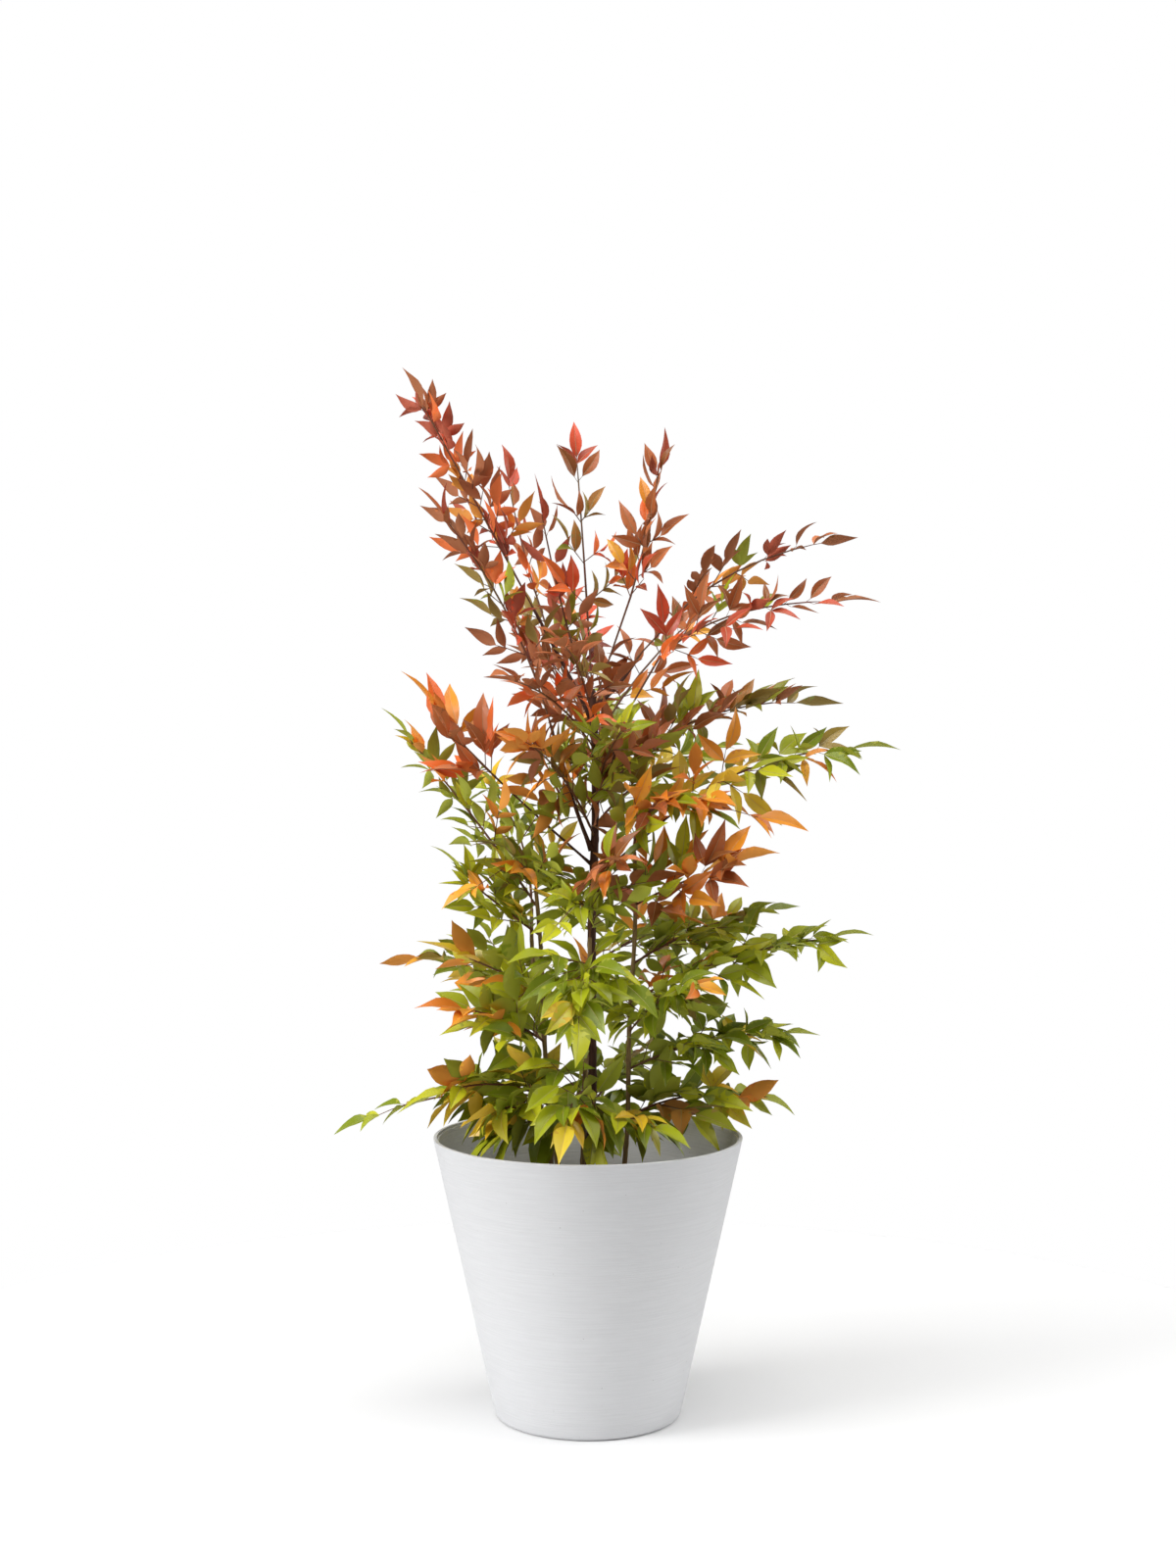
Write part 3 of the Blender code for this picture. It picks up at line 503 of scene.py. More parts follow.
class PlantSettings(bpy.types.PropertyGroup):
    leaf_size: FloatProperty(
        name="Leaf size", description="Length of the leaves, of their own", default=1.0, min=0.5, max=1.5
    )
    leaf_fold: FloatProperty(
        name="Leaf fold",
        description="How far a leaf's sides rise from its midrib",
        default=0.48,
        min=0.0,
        max=1.0,
    )
    leaf_arch: FloatProperty(
        name="Leaf arch",
        description="How far a leaf bends from its root to its tip",
        default=math.radians(38.0),
        unit="ROTATION",
    )
    joint_step: FloatProperty(
        name="Joint step",
        description="Space between two joints of a frond's stem, of the length of its leaves",
        default=0.41,
        min=0.3,
        max=2.0,
    )
    crown_joint_step: FloatProperty(
        name="Joint step of the crown",
        description="The same space on the fronds of the crown, whose leaves are small",
        default=0.55,
        min=0.3,
        max=2.0,
    )
    young_bark_colour: FloatVectorProperty(
        name="Young bark",
        description="Colour of the thinner canes",
        default=(0.190, 0.125, 0.055),
        subtype="COLOR",
    )
    bark_colour: FloatVectorProperty(
        name="Bark", description="Colour of the canes", default=(0.060, 0.026, 0.018), subtype="COLOR"
    )
    stalk_colour: FloatVectorProperty(
        name="Stalks", description="Colour of the stems", default=(0.185, 0.052, 0.034), subtype="COLOR"
    )
    soil_colour: FloatVectorProperty(
        name="Soil", description="Colour of the soil", default=(0.050, 0.032, 0.021), subtype="COLOR"
    )


class StageSettings(bpy.types.PropertyGroup):
    ambient: FloatProperty(name="Room light", description="Light from all round", default=0.28)
    left: FloatProperty(
        name="Left softbox", description="Power of the light at the left", default=68.0, unit="POWER"
    )
    right: FloatProperty(
        name="Right softbox", description="Power of the light at the right", default=32.0, unit="POWER"
    )
    top: FloatProperty(
        name="Top softbox", description="Power of the light overhead", default=72.0, unit="POWER"
    )
    floor_colour: FloatVectorProperty(
        name="Floor", description="Colour of the floor", default=(0.97, 0.97, 0.97), subtype="COLOR"
    )


# Materials


def add_node(tree, kind, inputs=None, **values):
    """A node with its values, and its inputs either set or linked from a socket of another node."""
    node = tree.nodes.new(kind)
    for key, value in values.items():
        setattr(node, key, value)
    for key, value in (inputs or {}).items():
        if isinstance(value, bpy.types.NodeSocket):
            tree.links.new(value, node.inputs[key])
        else:
            node.inputs[key].default_value = value
    return node


def noise_of(tree, place, scale, detail, roughness=0.5):
    """Cloudy grey patches."""
    grain = {"Vector": place, "Scale": scale, "Detail": detail, "Roughness": roughness}
    return add_node(tree, "ShaderNodeTexNoise", grain).outputs[0]


def remapped(tree, value, low, high, to_low=0.0, to_high=1.0):
    """A value between two limits, spread over another range."""
    spans = {"Value": value, "From Min": low, "From Max": high, "To Min": to_low, "To Max": to_high}
    return add_node(tree, "ShaderNodeMapRange", spans).outputs[0]


def product(tree, first, second):
    return add_node(tree, "ShaderNodeMath", {0: first, 1: second}, operation="MULTIPLY").outputs[0]


def mixed_colours(tree, share, ground, other):
    mix = {"Factor": share, "A": ground, "B": other}
    return add_node(tree, "ShaderNodeMix", mix, data_type="RGBA").outputs["Result"]


def new_group(name, inputs, outputs):
    group = bpy.data.node_groups.new(name, "ShaderNodeTree")
    for label, kind, value in inputs:
        socket = group.interface.new_socket(name=label, in_out="INPUT", socket_type=f"NodeSocket{kind}")
        socket.default_value = value
    for label, kind in outputs:
        group.interface.new_socket(name=label, in_out="OUTPUT", socket_type=f"NodeSocket{kind}")
    return group, group.nodes.new("NodeGroupInput").outputs, group.nodes.new("NodeGroupOutput").inputs


@lru_cache(maxsize=None)
def streak_group():
    """Two colours in long streaks, whose stretch along each axis is given."""
    group, given, out = new_group(
        "Streaks",
        [
            ("Ground", "Color", (0.5, 0.5, 0.5, 1.0)),
            ("Streak", "Color", (0.4, 0.4, 0.4, 1.0)),
            ("Spread", "Vector", (1.0, 1.0, 1.0)),
            ("Scale", "Float", 100.0),
            ("Contrast", "Float", 0.5),
        ],
        [("Color", "Color"), ("Height", "Float")],
    )
    place = add_node(group, "ShaderNodeTexCoord").outputs["Object"]
    drawn_out = {0: place, 1: given["Spread"]}
    spread = add_node(group, "ShaderNodeVectorMath", drawn_out, operation="MULTIPLY").outputs[0]
    grain = noise_of(group, spread, given["Scale"], detail=4.0, roughness=0.62)
    sharpened = remapped(group, grain, low=0.35, high=0.65)
    share = product(group, sharpened, given["Contrast"])
    group.links.new(mixed_colours(group, share, given["Ground"], given["Streak"]), out["Color"])
    group.links.new(sharpened, out["Height"])
    return group


@lru_cache(maxsize=None)
def satin_group():
    """Roughness and relief of a leaf's skin, uneven as wax is."""
    group, given, out = new_group(
        "Leaf satin",
        [("Scale", "Float", 220.0), ("Smoothest", "Float", 0.36), ("Roughest", "Float", 0.56)],
        [("Roughness", "Float"), ("Height", "Float")],
    )
    place = add_node(group, "ShaderNodeTexCoord").outputs["Object"]
    skin = noise_of(group, place, given["Scale"], detail=3.0)
    rough = remapped(group, skin, 0.3, 0.7, given["Smoothest"], given["Roughest"])
    group.links.new(rough, out["Roughness"])
    group.links.new(skin, out["Height"])
    return group


def new_material(name, colour, roughness, specular):
    material = bpy.data.materials.new(name)
    material.use_nodes = True
    shader = material.node_tree.nodes["Principled BSDF"].inputs
    shader["Base Color"].default_value = (*colour, 1.0)
    shader["Roughness"].default_value = roughness
    shader["Specular IOR Level"].default_value = specular
    return material, material.node_tree, shader


def add_bump(tree, shader, height, strength, distance):
    relief = {"Height": height, "Strength": strength, "Distance": distance}
    tree.links.new(add_node(tree, "ShaderNodeBump", relief).outputs["Normal"], shader["Normal"])


def streaked_material(
    name, colour, other, roughness, specular, scale, contrast, spread=(1.0, 1.0, 1.0), relief=None
):
    """Two colours in streaks. The relief that follows them has a strength and a depth."""
    material, tree, shader = new_material(name, colour, roughness, specular)
    pattern = {"Ground": (*colour, 1.0), "Streak": (*other, 1.0), "Spread": spread}
    pattern |= {"Scale": scale, "Contrast": contrast}
    streaks = add_node(tree, "ShaderNodeGroup", pattern, node_tree=streak_group()).outputs
    tree.links.new(streaks["Color"], shader["Base Color"])
    if relief:
        add_bump(tree, shader, streaks["Height"], *relief)
    return material, tree, shader, streaks


def times(colour, *shares):
    """A colour with its parts taken by a share each, or all by the same one."""
    return tuple(part * share for part, share in zip(colour, shares * (3 // len(shares))))


def blended(colour, other, share):
    return tuple(a + (b - a) * share for a, b in zip(colour, other))


def planter_material(settings):
    """Matt cast finish with fine level brush lines and a few dark specks."""
    colour = tuple(settings.colour)
    material, tree, shader, lines = streaked_material(
        "planter finish",
        colour,
        times(colour, 0.80),
        roughness=0.62,
        specular=0.35,
        scale=22.0,
        contrast=settings.line_contrast,
        spread=(1.0, 1.0, 42.0),
        relief=(0.35, 0.0006),
    )
    place = add_node(tree, "ShaderNodeTexCoord").outputs["Object"]
    pits = add_node(tree, "ShaderNodeTexVoronoi", {"Vector": place, "Scale": 150.0})
    pit = remapped(tree, pits.outputs["Distance"], low=0.05, high=0.11, to_low=1.0, to_high=0.0)
    chosen = remapped(tree, noise_of(tree, place, scale=70.0, detail=1.0), low=0.60, high=0.66)
    dark = (0.42, 0.41, 0.40, 1.0)
    specked = mixed_colours(tree, product(tree, pit, chosen), lines["Color"], dark)
    rough = remapped(tree, lines["Height"], low=0.0, high=1.0, to_low=0.55, to_high=0.70)
    tree.links.new(specked, shader["Base Color"])
    tree.links.new(rough, shader["Roughness"])
    return material


def soil_material(colour):
    look = {"roughness": 0.95, "specular": 0.2, "scale": 260.0, "contrast": 0.8, "relief": (0.9, 0.0012)}
    return streaked_material("potting soil", colour, times(colour, 2.3), **look)[0]


def bark_material(name, colour):
    """Bark with long upright fissures, paler where it is worn."""
    look = {"roughness": 0.75, "specular": 0.3, "scale": 520.0, "contrast": 0.75, "relief": (0.8, 0.0006)}
    return streaked_material(name, colour, times(colour, 2.4), spread=(1.0, 1.0, 0.10), **look)[0]


def stalk_material(colour):
    """The red skin of the stems, greener in patches."""
    look = {"roughness": 0.5, "specular": 0.4, "scale": 14.0, "contrast": 0.6, "relief": (0.2, 0.0003)}
    return streaked_material("stalk skin", colour, times(colour, 0.9, 2.4, 1.1), **look)[0]


def leaf_material(name, colour, smoothest, specular):
    """One plain shade with an uneven satin skin."""
    material, tree, shader = new_material(name, colour, 0.45, specular)
    limits = {"Smoothest": smoothest, "Roughest": smoothest + 0.2}
    skin = add_node(tree, "ShaderNodeGroup", limits, node_tree=satin_group()).outputs
    tree.links.new(skin["Roughness"], shader["Roughness"])
    add_bump(tree, shader, skin["Height"], 0.25, 0.0004)
    return material


def leaf_materials(name, tint):
    """The shades of the upper side, then the midrib, then the underside.

    The look of each is its colour, its least roughness and its gloss.
    """
    looks = {f"leaf {number}": (shade, 0.27, tint.gloss) for number, shade in enumerate(tint.shades, 1)}
    looks["midrib"] = (blended(tint.shades[0], VEIN_PALE, 0.45), 0.45, 0.4)
    looks["underside"] = (blended(tint.shades[0], UNDERSIDE_GREY, 0.16), 0.55, 0.3)
    return [leaf_material(f"{name} {part}", *look) for part, look in looks.items()]


# Mesh making


def add_object(name, mesh, *materials):
    for material in materials:
        mesh.materials.append(material)
    thing = bpy.data.objects.new(name, mesh)
    bpy.context.scene.collection.objects.link(thing)
    return thing


def settle(thing, slot, *nodes):
    """The piece joins the plant: it rides with it, and stands for its solids."""
    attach(thing, BODY)
    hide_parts(*nodes)


def mesh_from(name, points, faces):
    mesh = bpy.data.meshes.new(name)
    mesh.from_pydata(points, [], faces)
    mesh.shade_smooth()
    return mesh


def circle(radius, sides):
    turns = [math.tau * side / sides for side in range(sides)]
    return [(radius * math.cos(turn), radius * math.sin(turn)) for turn in turns]


def turned(name, profile, sides):
    """The body that a profile of (radius, height) corners sweeps round the upright axis."""
    body = bmesh.new()
    corners = [body.verts.new((radius, 0.0, height)) for radius, height in profile]
    edges = [body.edges.new(pair) for pair in zip(corners, corners[1:])]
    bmesh.ops.spin(
        body,
        geom=corners + edges,
        axis=UP,
        cent=(0.0, 0.0, 0.0),
        angle=math.tau,
        steps=sides,
        use_duplicate=False,
    )
    bmesh.ops.remove_doubles(body, verts=body.verts, dist=0.00001)
    bmesh.ops.recalc_face_normals(body, faces=body.faces)
    mesh = bpy.data.meshes.new(name)
    body.to_mesh(mesh)
    body.free()
    mesh.shade_smooth()
    mesh.set_sharp_from_angle(angle=math.radians(32))
    return mesh


class Tubes:
    """Round tapering limbs, gathered into one mesh."""

    NEARLY_UPRIGHT = 0.05

    def __init__(self):
        self.points = []
        self.faces = []

    def add(self, line, radii, sides, relief=None):
        across = None
        start = len(self.points)
        for number, point in enumerate(line):
            before = line[max(number - 1, 0)]
            after = line[min(number + 1, len(line) - 1)]
            along = (after - before).normalized()
            if across is None:
                across = along.cross(UP)
                if across.length < self.NEARLY_UPRIGHT:
                    across = along.cross(Vector((1.0, 0.0, 0.0)))
            across = (across - along * across.dot(along)).normalized()
            upward = across.cross(along)
            for side in range(sides):
                turn = math.tau * side / sides
                spoke = upward * math.cos(turn) + across * math.sin(turn)
                radius = radii[number]
                if relief:
                    radius += relief(number, spoke)
                self.points.append(point + spoke * radius)
        for low in range(start, start + (len(line) - 1) * sides, sides):
            for side in range(sides):
                beside = (side + 1) % sides
                self.faces.append((low + side, low + beside, low + sides + beside, low + sides + side))
        self.faces.append(tuple(range(start, start + sides))[::-1])
        self.faces.append(tuple(range(len(self.points) - sides, len(self.points))))

    def mesh(self, name):
        return mesh_from(name, [tuple(point) for point in self.points], self.faces)


# The limbs' lines, as the solids have them


def between(pair, share):
    return pair[0] + (pair[1] - pair[0]) * share


def bend(start, knee, tip, share):
    """A point on the curve of a limb, or of a twig."""
    return start.lerp(knee, share).lerp(knee.lerp(tip, share), share)


def cane_point(name, height):
    cane = CANES[name]
    share = (height - SOIL_TOP) / (cane.top[2] - SOIL_TOP)
    foot = Vector((*cane.foot, SOIL_TOP))
    heading = random.Random(name).uniform(0.0, math.tau)
    crook = cane.sway * (math.sin(math.pi * share) + CROOK * math.sin(3.0 * math.pi * share))
    aside = Vector((math.cos(heading) * crook, math.sin(heading) * crook, 0.0))
    return foot.lerp(Vector(cane.top), share) + aside


def cane_radius(name, height):
    cane = CANES[name]
    foot = SOIL_TOP + CLEARANCE
    share = max(0.0, (height - foot) / (cane.top[2] - foot))
    flare = max(0.0, 1.0 - max(0.0, height - foot) / FLARE_HEIGHT) ** 2
    return between(cane.radii, share) * (1.0 + (FLARE_WIDTH - 1.0) * flare)


def limb_line(carrier, leaves_at, rise, tip, ends):
    """Start, knee and tip of the curve of a limb, from just under the skin of what carries it."""
    if leaves_at is None:
        start, heading = ends[carrier]
    else:
        middle = cane_point(carrier, leaves_at)
        outward = Vector((tip.x - middle.x, tip.y - middle.y, 0.0)).normalized()
        start = middle + outward * (cane_radius(carrier, leaves_at) * UNDER_SKIN + CLEARANCE)
        heading = outward * math.cos(math.radians(rise)) + UP * math.sin(math.radians(rise))
    knee = start + heading * (tip - start).length * KNEE
    return start, knee, tip


@lru_cache(maxsize=None)
def bough_lines():
    return {
        name: limb_line(bough.cane, bough.leaves_at, bough.rise, Vector(bough.tip), {})
        for name, bough in BOUGHS.items()
    }


def limb_ends():
    """Where each cane and bough ends, and its heading there."""
    ends = {}
    for name, cane in CANES.items():
        top = Vector(cane.top)
        ends[name] = (top, (top - cane_point(name, top.z - HEADING_BELOW)).normalized())
    for name, line in bough_lines().items():
        ends[name] = (line[2], (line[2] - bend(*line, HEADING_FROM)).normalized())
    return ends


def rolled(vector, axis, degrees):
    return Matrix.Rotation(math.radians(degrees), 3, axis) @ vector


# Growth


class Leaf(NamedTuple):
    """Where a leaf grows, which way it heads, which way its upper side faces, and its shape."""

    root: Vector
    along: Vector
    rise: Vector
    length: float
    width: float
    arch: float
    twist: float
    sickle: float
    phase: float
    shade: int


class Joint(NamedTuple):
    """Where two twigs leave a frond's stem, how far out that is, and their share of the usual reach."""

    share: float
    outer: float
    roll: float
    label: str
    part: float


def leaf_width(length, height):
    """Leaves are slim in the crown, and broader towards the foot of the plant."""
    lowness = min(1.0, max(0.0, (BROAD_BELOW[1] - height) / (BROAD_BELOW[1] - BROAD_BELOW[0])))
    return length * between((SLIM, BROAD), lowness)


def true_size(name, leaf):
    """Length that a frond's leaves have on the plant, for a length in the solids."""
    drawn = FRONDS[name].leaf
    usual = drawn if drawn > LARGE_LEAF else min(drawn, USUAL_LEAF)
    return (HABITS.get(name, PLAIN_HABIT).leaf or usual) * leaf / drawn


class Growth:
    """All the leaves and stalks of the plant as they grow, each kept clear of the others."""

    def __init__(self):
        self.settings = bpy.context.scene.plant_settings
        self.leaves = defaultdict(list)
        self.stalks = Tubes()
        self.cells = defaultdict(list)
        self.low, self.high = (Vector(corner) for corner in CAD_BOX)
        hard = ["pot", "potting_soil", *CANES, *BOUGHS]
        self.hard = [self.tree_of(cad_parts[name].data) for name in hard]

    @staticmethod
    def tree_of(mesh):
        points = [corner.co.copy() for corner in mesh.vertices]
        return BVHTree.FromPolygons(points, [tuple(face.vertices) for face in mesh.polygons])

    def inside(self, points, spare):
        return all(
            self.low[axis] + spare <= point[axis] <= self.high[axis] - spare
            for point in points
            for axis in range(3)
        )

    def fits(self, root, along, rise, length, width):
        """The room of a leaf is free: its blade from just past its root crosses nothing."""
        side = rise.cross(along)
        blade_start, belly_at, cupped = 0.14, 0.44, 0.12
        start = root + along * length * blade_start
        belly = root + along * length * belly_at
        lift = rise * width * cupped
        right, left = belly + side * width * 0.5 + lift, belly - side * width * 0.5 + lift
        points = [start, right, root + along * length, left, belly]
        if not self.inside(points, LEAF_SPARE):
            return None
        blade = BVHTree.FromPolygons(points, [(0, 4, 1), (4, 2, 1), (0, 3, 4), (4, 3, 2)])
        if any(blade.overlap(other) for other in self.hard):
            return None
        cells = {tuple(math.floor(value / NEIGHBOURS_WITHIN) for value in point) for point in points}
        near = {id(other): other for cell in cells for other in self.cells[cell]}
        if any(blade.overlap(other) for other in near.values()):
            return None
        return blade, cells

    def add_leaf(self, tint, draw, root, along, face, length, sure=False):
        """Puts a leaf where it has room, rolled and lifted a little more at each try."""
        width = leaf_width(length, root.z) * draw.uniform(*WIDTH_VARIES)
        outward = Vector((root.x, root.y, 0.0)).normalized()
        for attempt in range(LEAF_TRIES):
            roll = draw.uniform(-LEAF_ROLL, LEAF_ROLL) * (1.0 + ROLL_GAIN * attempt)
            lean = along
            if attempt:
                lean = (along + face * draw.uniform(-LEAN_GAIN, LEAN_GAIN) * attempt).normalized()
            facing = face + outward * draw.uniform(0.0, FACING_OUT) + UP * FACING_UP
            level = facing - lean * facing.dot(lean)
            rise = rolled(level.normalized(), lean, roll)
            room = self.fits(root, lean, rise, length, width)
            if room is None and not sure:
                continue
            if room:
                blade, cells = room
                for cell in cells:
                    self.cells[cell].append(blade)
            arch = self.settings.leaf_arch * draw.uniform(*ARCH_VARIES)
            twist = draw.uniform(-LEAF_TWIST, LEAF_TWIST)
            sickle = draw.uniform(-LEAF_SICKLE, LEAF_SICKLE)
            phase = draw.random()
            shade = draw.choice(DEEP_SHADES if root.z < DEEP_BELOW else SHADES)
            leaf = Leaf(root, lean, rise, length, width, arch, twist, sickle, phase, shade)
            self.leaves[tint].append(leaf)
            return True
        return False

    def add_stalk(self, line, radii, joints=()):
        """A stalk, swollen where it bears a pair."""
        swollen = [radius * (JOINT_SWELL if spot in joints else 1.0) for spot, radius in enumerate(radii)]
        self.stalks.add(line, swollen, STALK_SIDES)


class Spray(NamedTuple):
    """The leaves of one twig share a tint, the way that they face and how far they droop."""

    growth: Growth
    draw: random.Random
    tint: str
    face: Vector
    droop: float

    def splayed(self, along, side, hand):
        """A heading that leans out to one side."""
        splay = math.radians(self.draw.uniform(*LEAF_SPLAY))
        return along * math.cos(splay) + side * hand * math.sin(splay)

    def leaf(self, root, heading, length):
        lean = (heading - UP * self.droop).normalized()
        return self.growth.add_leaf(self.tint, self.draw, root, lean, self.face, length)

    def sprig(self, root, heading, size):
        """Three leaves at the end of a short stalk."""
        stalk = size * self.draw.uniform(*SPRIG_STALK)
        tip = root + heading * stalk
        if not self.growth.inside([tip], SPRIG_SPARE):
            return
        side = self.face.cross(heading).normalized()
        fork = tip - heading * size * SPRIG_BACK
        placed = self.leaf(tip, heading, size * SPRIG_LEAF)
        for hand in HANDS:
            placed |= self.leaf(fork, self.splayed(heading, side, hand), size * SPRIG_SIDES)
        if placed:
            thick, thin = STALK_RADIUS
            self.growth.add_stalk([root, fork, tip], [thick, thick, thin], (1,))

    def three(self, root, along, size, lone):
        """A twig too short for pairs ends in three leaves, or near the top of the crown in one."""
        size *= self.draw.uniform(*THREE_LEAF)
        tip = root + along * size * THREE_STALK
        if not self.growth.inside([tip], TWIG_SPARE):
            return
        side = self.face.cross(along).normalized()
        placed = self.leaf(tip, along, size)
        for hand in () if lone else HANDS:
            heading = self.splayed(along, side, hand)
            placed |= self.leaf(tip, heading, size * THREE_SIDES * self.draw.uniform(*SIDES_VARY))
        if placed:
            self.growth.add_stalk([root, tip], STALK_RADIUS)

    def twig(self, root, along, reach, size, lone):
        """A leaf at the twig's end, and pairs of leaves or of sprigs down its sides."""
        stem = reach - size
        if stem < size * SHORTEST_TWIG:
            self.three(root, along, size, lone)
            return
        sag = UP * stem * self.draw.uniform(*TWIG_SAG)
        tip = root + along * stem - sag
        line = (root, root + along * stem * 0.5 + sag, tip)
        if not self.growth.inside([tip], TWIG_SPARE):
            return
        side = self.face.cross(along).normalized()
        self.leaf(tip, along, size)
        backs = []
        back = size * PAIR_BACK
        while back < stem * LAST_PAIR:
            backs.append(back)
            back += size * PAIR_STEP
        for back in backs:
            spot = bend(*line, 1.0 - back / stem)
            for hand in HANDS:
                heading = self.splayed(along, side, hand)
                foot = spot + along * hand * STAGGER * TWIG_OFFSET
                if back > size * SPRIG_FROM and self.draw.random() < SPRIG_CHANCE:
                    self.sprig(foot, heading, size)
                else:
                    self.leaf(foot, heading, size * self.draw.uniform(*PAIR_LEAF))
        marks = [0.0, *(1.0 - back / stem for back in reversed(backs)), 1.0]
        radii = [between(TWIG_RADIUS, share) for share in marks]
        self.growth.add_stalk([bend(*line, share) for share in marks], radii, range(1, len(marks) - 1))


def spray_tint(draw, name, outer):
    """The colour of a spray. Leaves turn first towards the tip of a frond."""
    mix = HABITS.get(name, PLAIN_HABIT)
    if not mix.outer:
        mix = TINTS[FRONDS[name].tint]
    sprays = mix.outer if draw.random() < outer else mix.inner
    return draw.choices(list(sprays), weights=list(sprays.values()))[0]


def lone_from(frond, habit):
    """How far up a frond its twigs give way to single leaves."""
    if habit.lone:
        return habit.lone
    if frond.leaf >= LEAST_INNER:
        return NEVER_LONE
    return LONE_FROM_UPRIGHT if math.hypot(*frond.tip[:2]) < UPRIGHT else LONE_FROM


def frond_joints(name, frond, far, stop, size, settings):
    """Joints of the solids, finer ones between them, and some near the foot, in their order."""
    draw, finer = random.Random(name), random.Random(f"{name} finer")
    frond_roll = draw.uniform(-FROND_ROLL, FROND_ROLL)
    step = (LAST_JOINT - frond.bare) / (frond.pairs - 1)
    shares = [stop * (frond.bare + step * number) for number in range(frond.pairs)]
    joints = []
    for number, share in enumerate(shares):
        roll = frond_roll + draw.uniform(-JOINT_ROLL, JOINT_ROLL)
        joints.append(Joint(share, number / (frond.pairs - 1), roll, str(number), 1.0))
    in_crown = frond.leaf < LEAST_INNER
    usual_step = settings.crown_joint_step if in_crown else settings.joint_step
    spaced = min(size, USUAL_LEAF) * (HABITS.get(name, PLAIN_HABIT).step * usual_step)
    parts = max(1, round((shares[1] - shares[0]) * far / spaced))
    gap = (shares[1] - shares[0]) / parts
    for number, first in enumerate(shares):
        for extra in range(1, parts):
            share = first + gap * extra
            if share > stop * LAST_FINE_JOINT:
                continue
            outer = min(1.0, (number + extra / parts) / (frond.pairs - 1))
            roll = frond_roll + 90.0 * extra / parts + finer.uniform(-FINE_ROLL, FINE_ROLL)
            joints.append(Joint(share, outer, roll, f"{number} {extra}", FINE_REACH))
    for extra, share in enumerate(() if in_crown else INNER_JOINTS):
        roll = finer.uniform(-90.0, 90.0)
        joints.append(Joint(stop * share, 0.0, roll, f"inner {extra}", INNER_REACH))
    return sorted(joints)


def grow_tip(growth, name, line, stop, side, size, droop):
    """The three leaves at the end of a frond. Gives the root of the middle one."""
    along = (line[2] - bend(*line, stop)).normalized()
    draw = random.Random(f"{name} end")
    spray = Spray(growth, draw, spray_tint(draw, name, 1.0), side.cross(along), droop)
    root = line[2] - along * size * TIP_LEAF
    growth.add_leaf(spray.tint, draw, root, along, spray.face, size * TIP_LEAF, sure=True)
    fork = root - along * size * PAIR_BACK * TWIG_OFFSET
    for hand in HANDS:
        spray.leaf(fork, spray.splayed(along, side, hand), size * draw.uniform(*TIP_SIDES))
    return root


def grow_frond(growth, name, frond, line):
    """The frond of the solids, with more joints on its stem and finer twigs at each."""
    start, knee, tip = line
    habit = HABITS.get(name, PLAIN_HABIT)
    leaf_size = growth.settings.leaf_size
    far = (tip - start).length
    stop = 1.0 - frond.leaf * END_LEAF / far
    side = Vector((tip.x - start.x, tip.y - start.y, 0.0)).normalized().cross(UP)
    longest = min(LONGEST_REACH, max(SHORTEST_REACH * frond.leaf, far * TWIG_SHARE))
    droop = habit.droop
    if droop is None:
        droop = LEAST_DROOP + DROOP_PER_METRE * max(0.0, frond.leaf - SMALL_LEAF)
    size = true_size(name, frond.leaf) * leaf_size
    end_root = grow_tip(growth, name, line, stop, side, size, droop)
    joints = frond_joints(name, frond, far, stop, size, growth.settings)
    for share, outer, roll, label, part in joints:
        root = bend(*line, share)
        along = (bend(*line, share + HEADING_AHEAD) - root).normalized()
        level = rolled(side, along, roll)
        face = level.cross(along)
        shown = (face + SUNNY_SIDE * habit.turned).normalized()
        for hand in HANDS:
            draw = random.Random(f"{name} {label} {hand:+.0f}")
            splay = math.radians(draw.uniform(*TWIG_SPLAY) - SPLAY_LOST * outer)
            reach = longest * (1.0 - REACH_LOST * outer) * draw.uniform(*REACH_VARIES) * part
            size = true_size(name, frond.leaf * draw.uniform(*LEAF_VARIES)) * leaf_size
            heading = along * math.cos(splay) + level * hand * math.sin(splay) + face * TWIG_LIFT
            tint = spray_tint(draw, name, TURNED_INSIDE + (1.0 - TURNED_INSIDE) * outer * outer)
            lone = outer > lone_from(frond, habit)
            if lone and habit.lone:
                reach = 0.0
            spray = Spray(growth, draw, tint, shown, droop)
            spray.twig(root + along * hand * STAGGER, heading.normalized(), reach, size, lone)
    shares = [0.0, SOCKET_END, *(joint.share for joint in joints), stop]
    sunk = start + (knee - start).normalized() * -STEM_SUNK
    radii = [between(STEM_RADIUS, share) for share in (0.0, *shares, 1.0)]
    radii[:2] = [radius * swell for radius, swell in zip(radii, SOCKET_SWELL)]
    stem = [sunk, *(bend(*line, share) for share in shares), end_root]
    growth.add_stalk(stem, radii, range(3, len(stem) - 2))


@lru_cache(maxsize=None)
def grown():
    growth = Growth()
    ends = limb_ends()
    for name, frond in FRONDS.items():
        line = limb_line(frond.carrier, frond.leaves_at, frond.rise, Vector(frond.tip), ends)
        grow_frond(growth, name, frond, line)
    return growth


# Leaves as one mesh


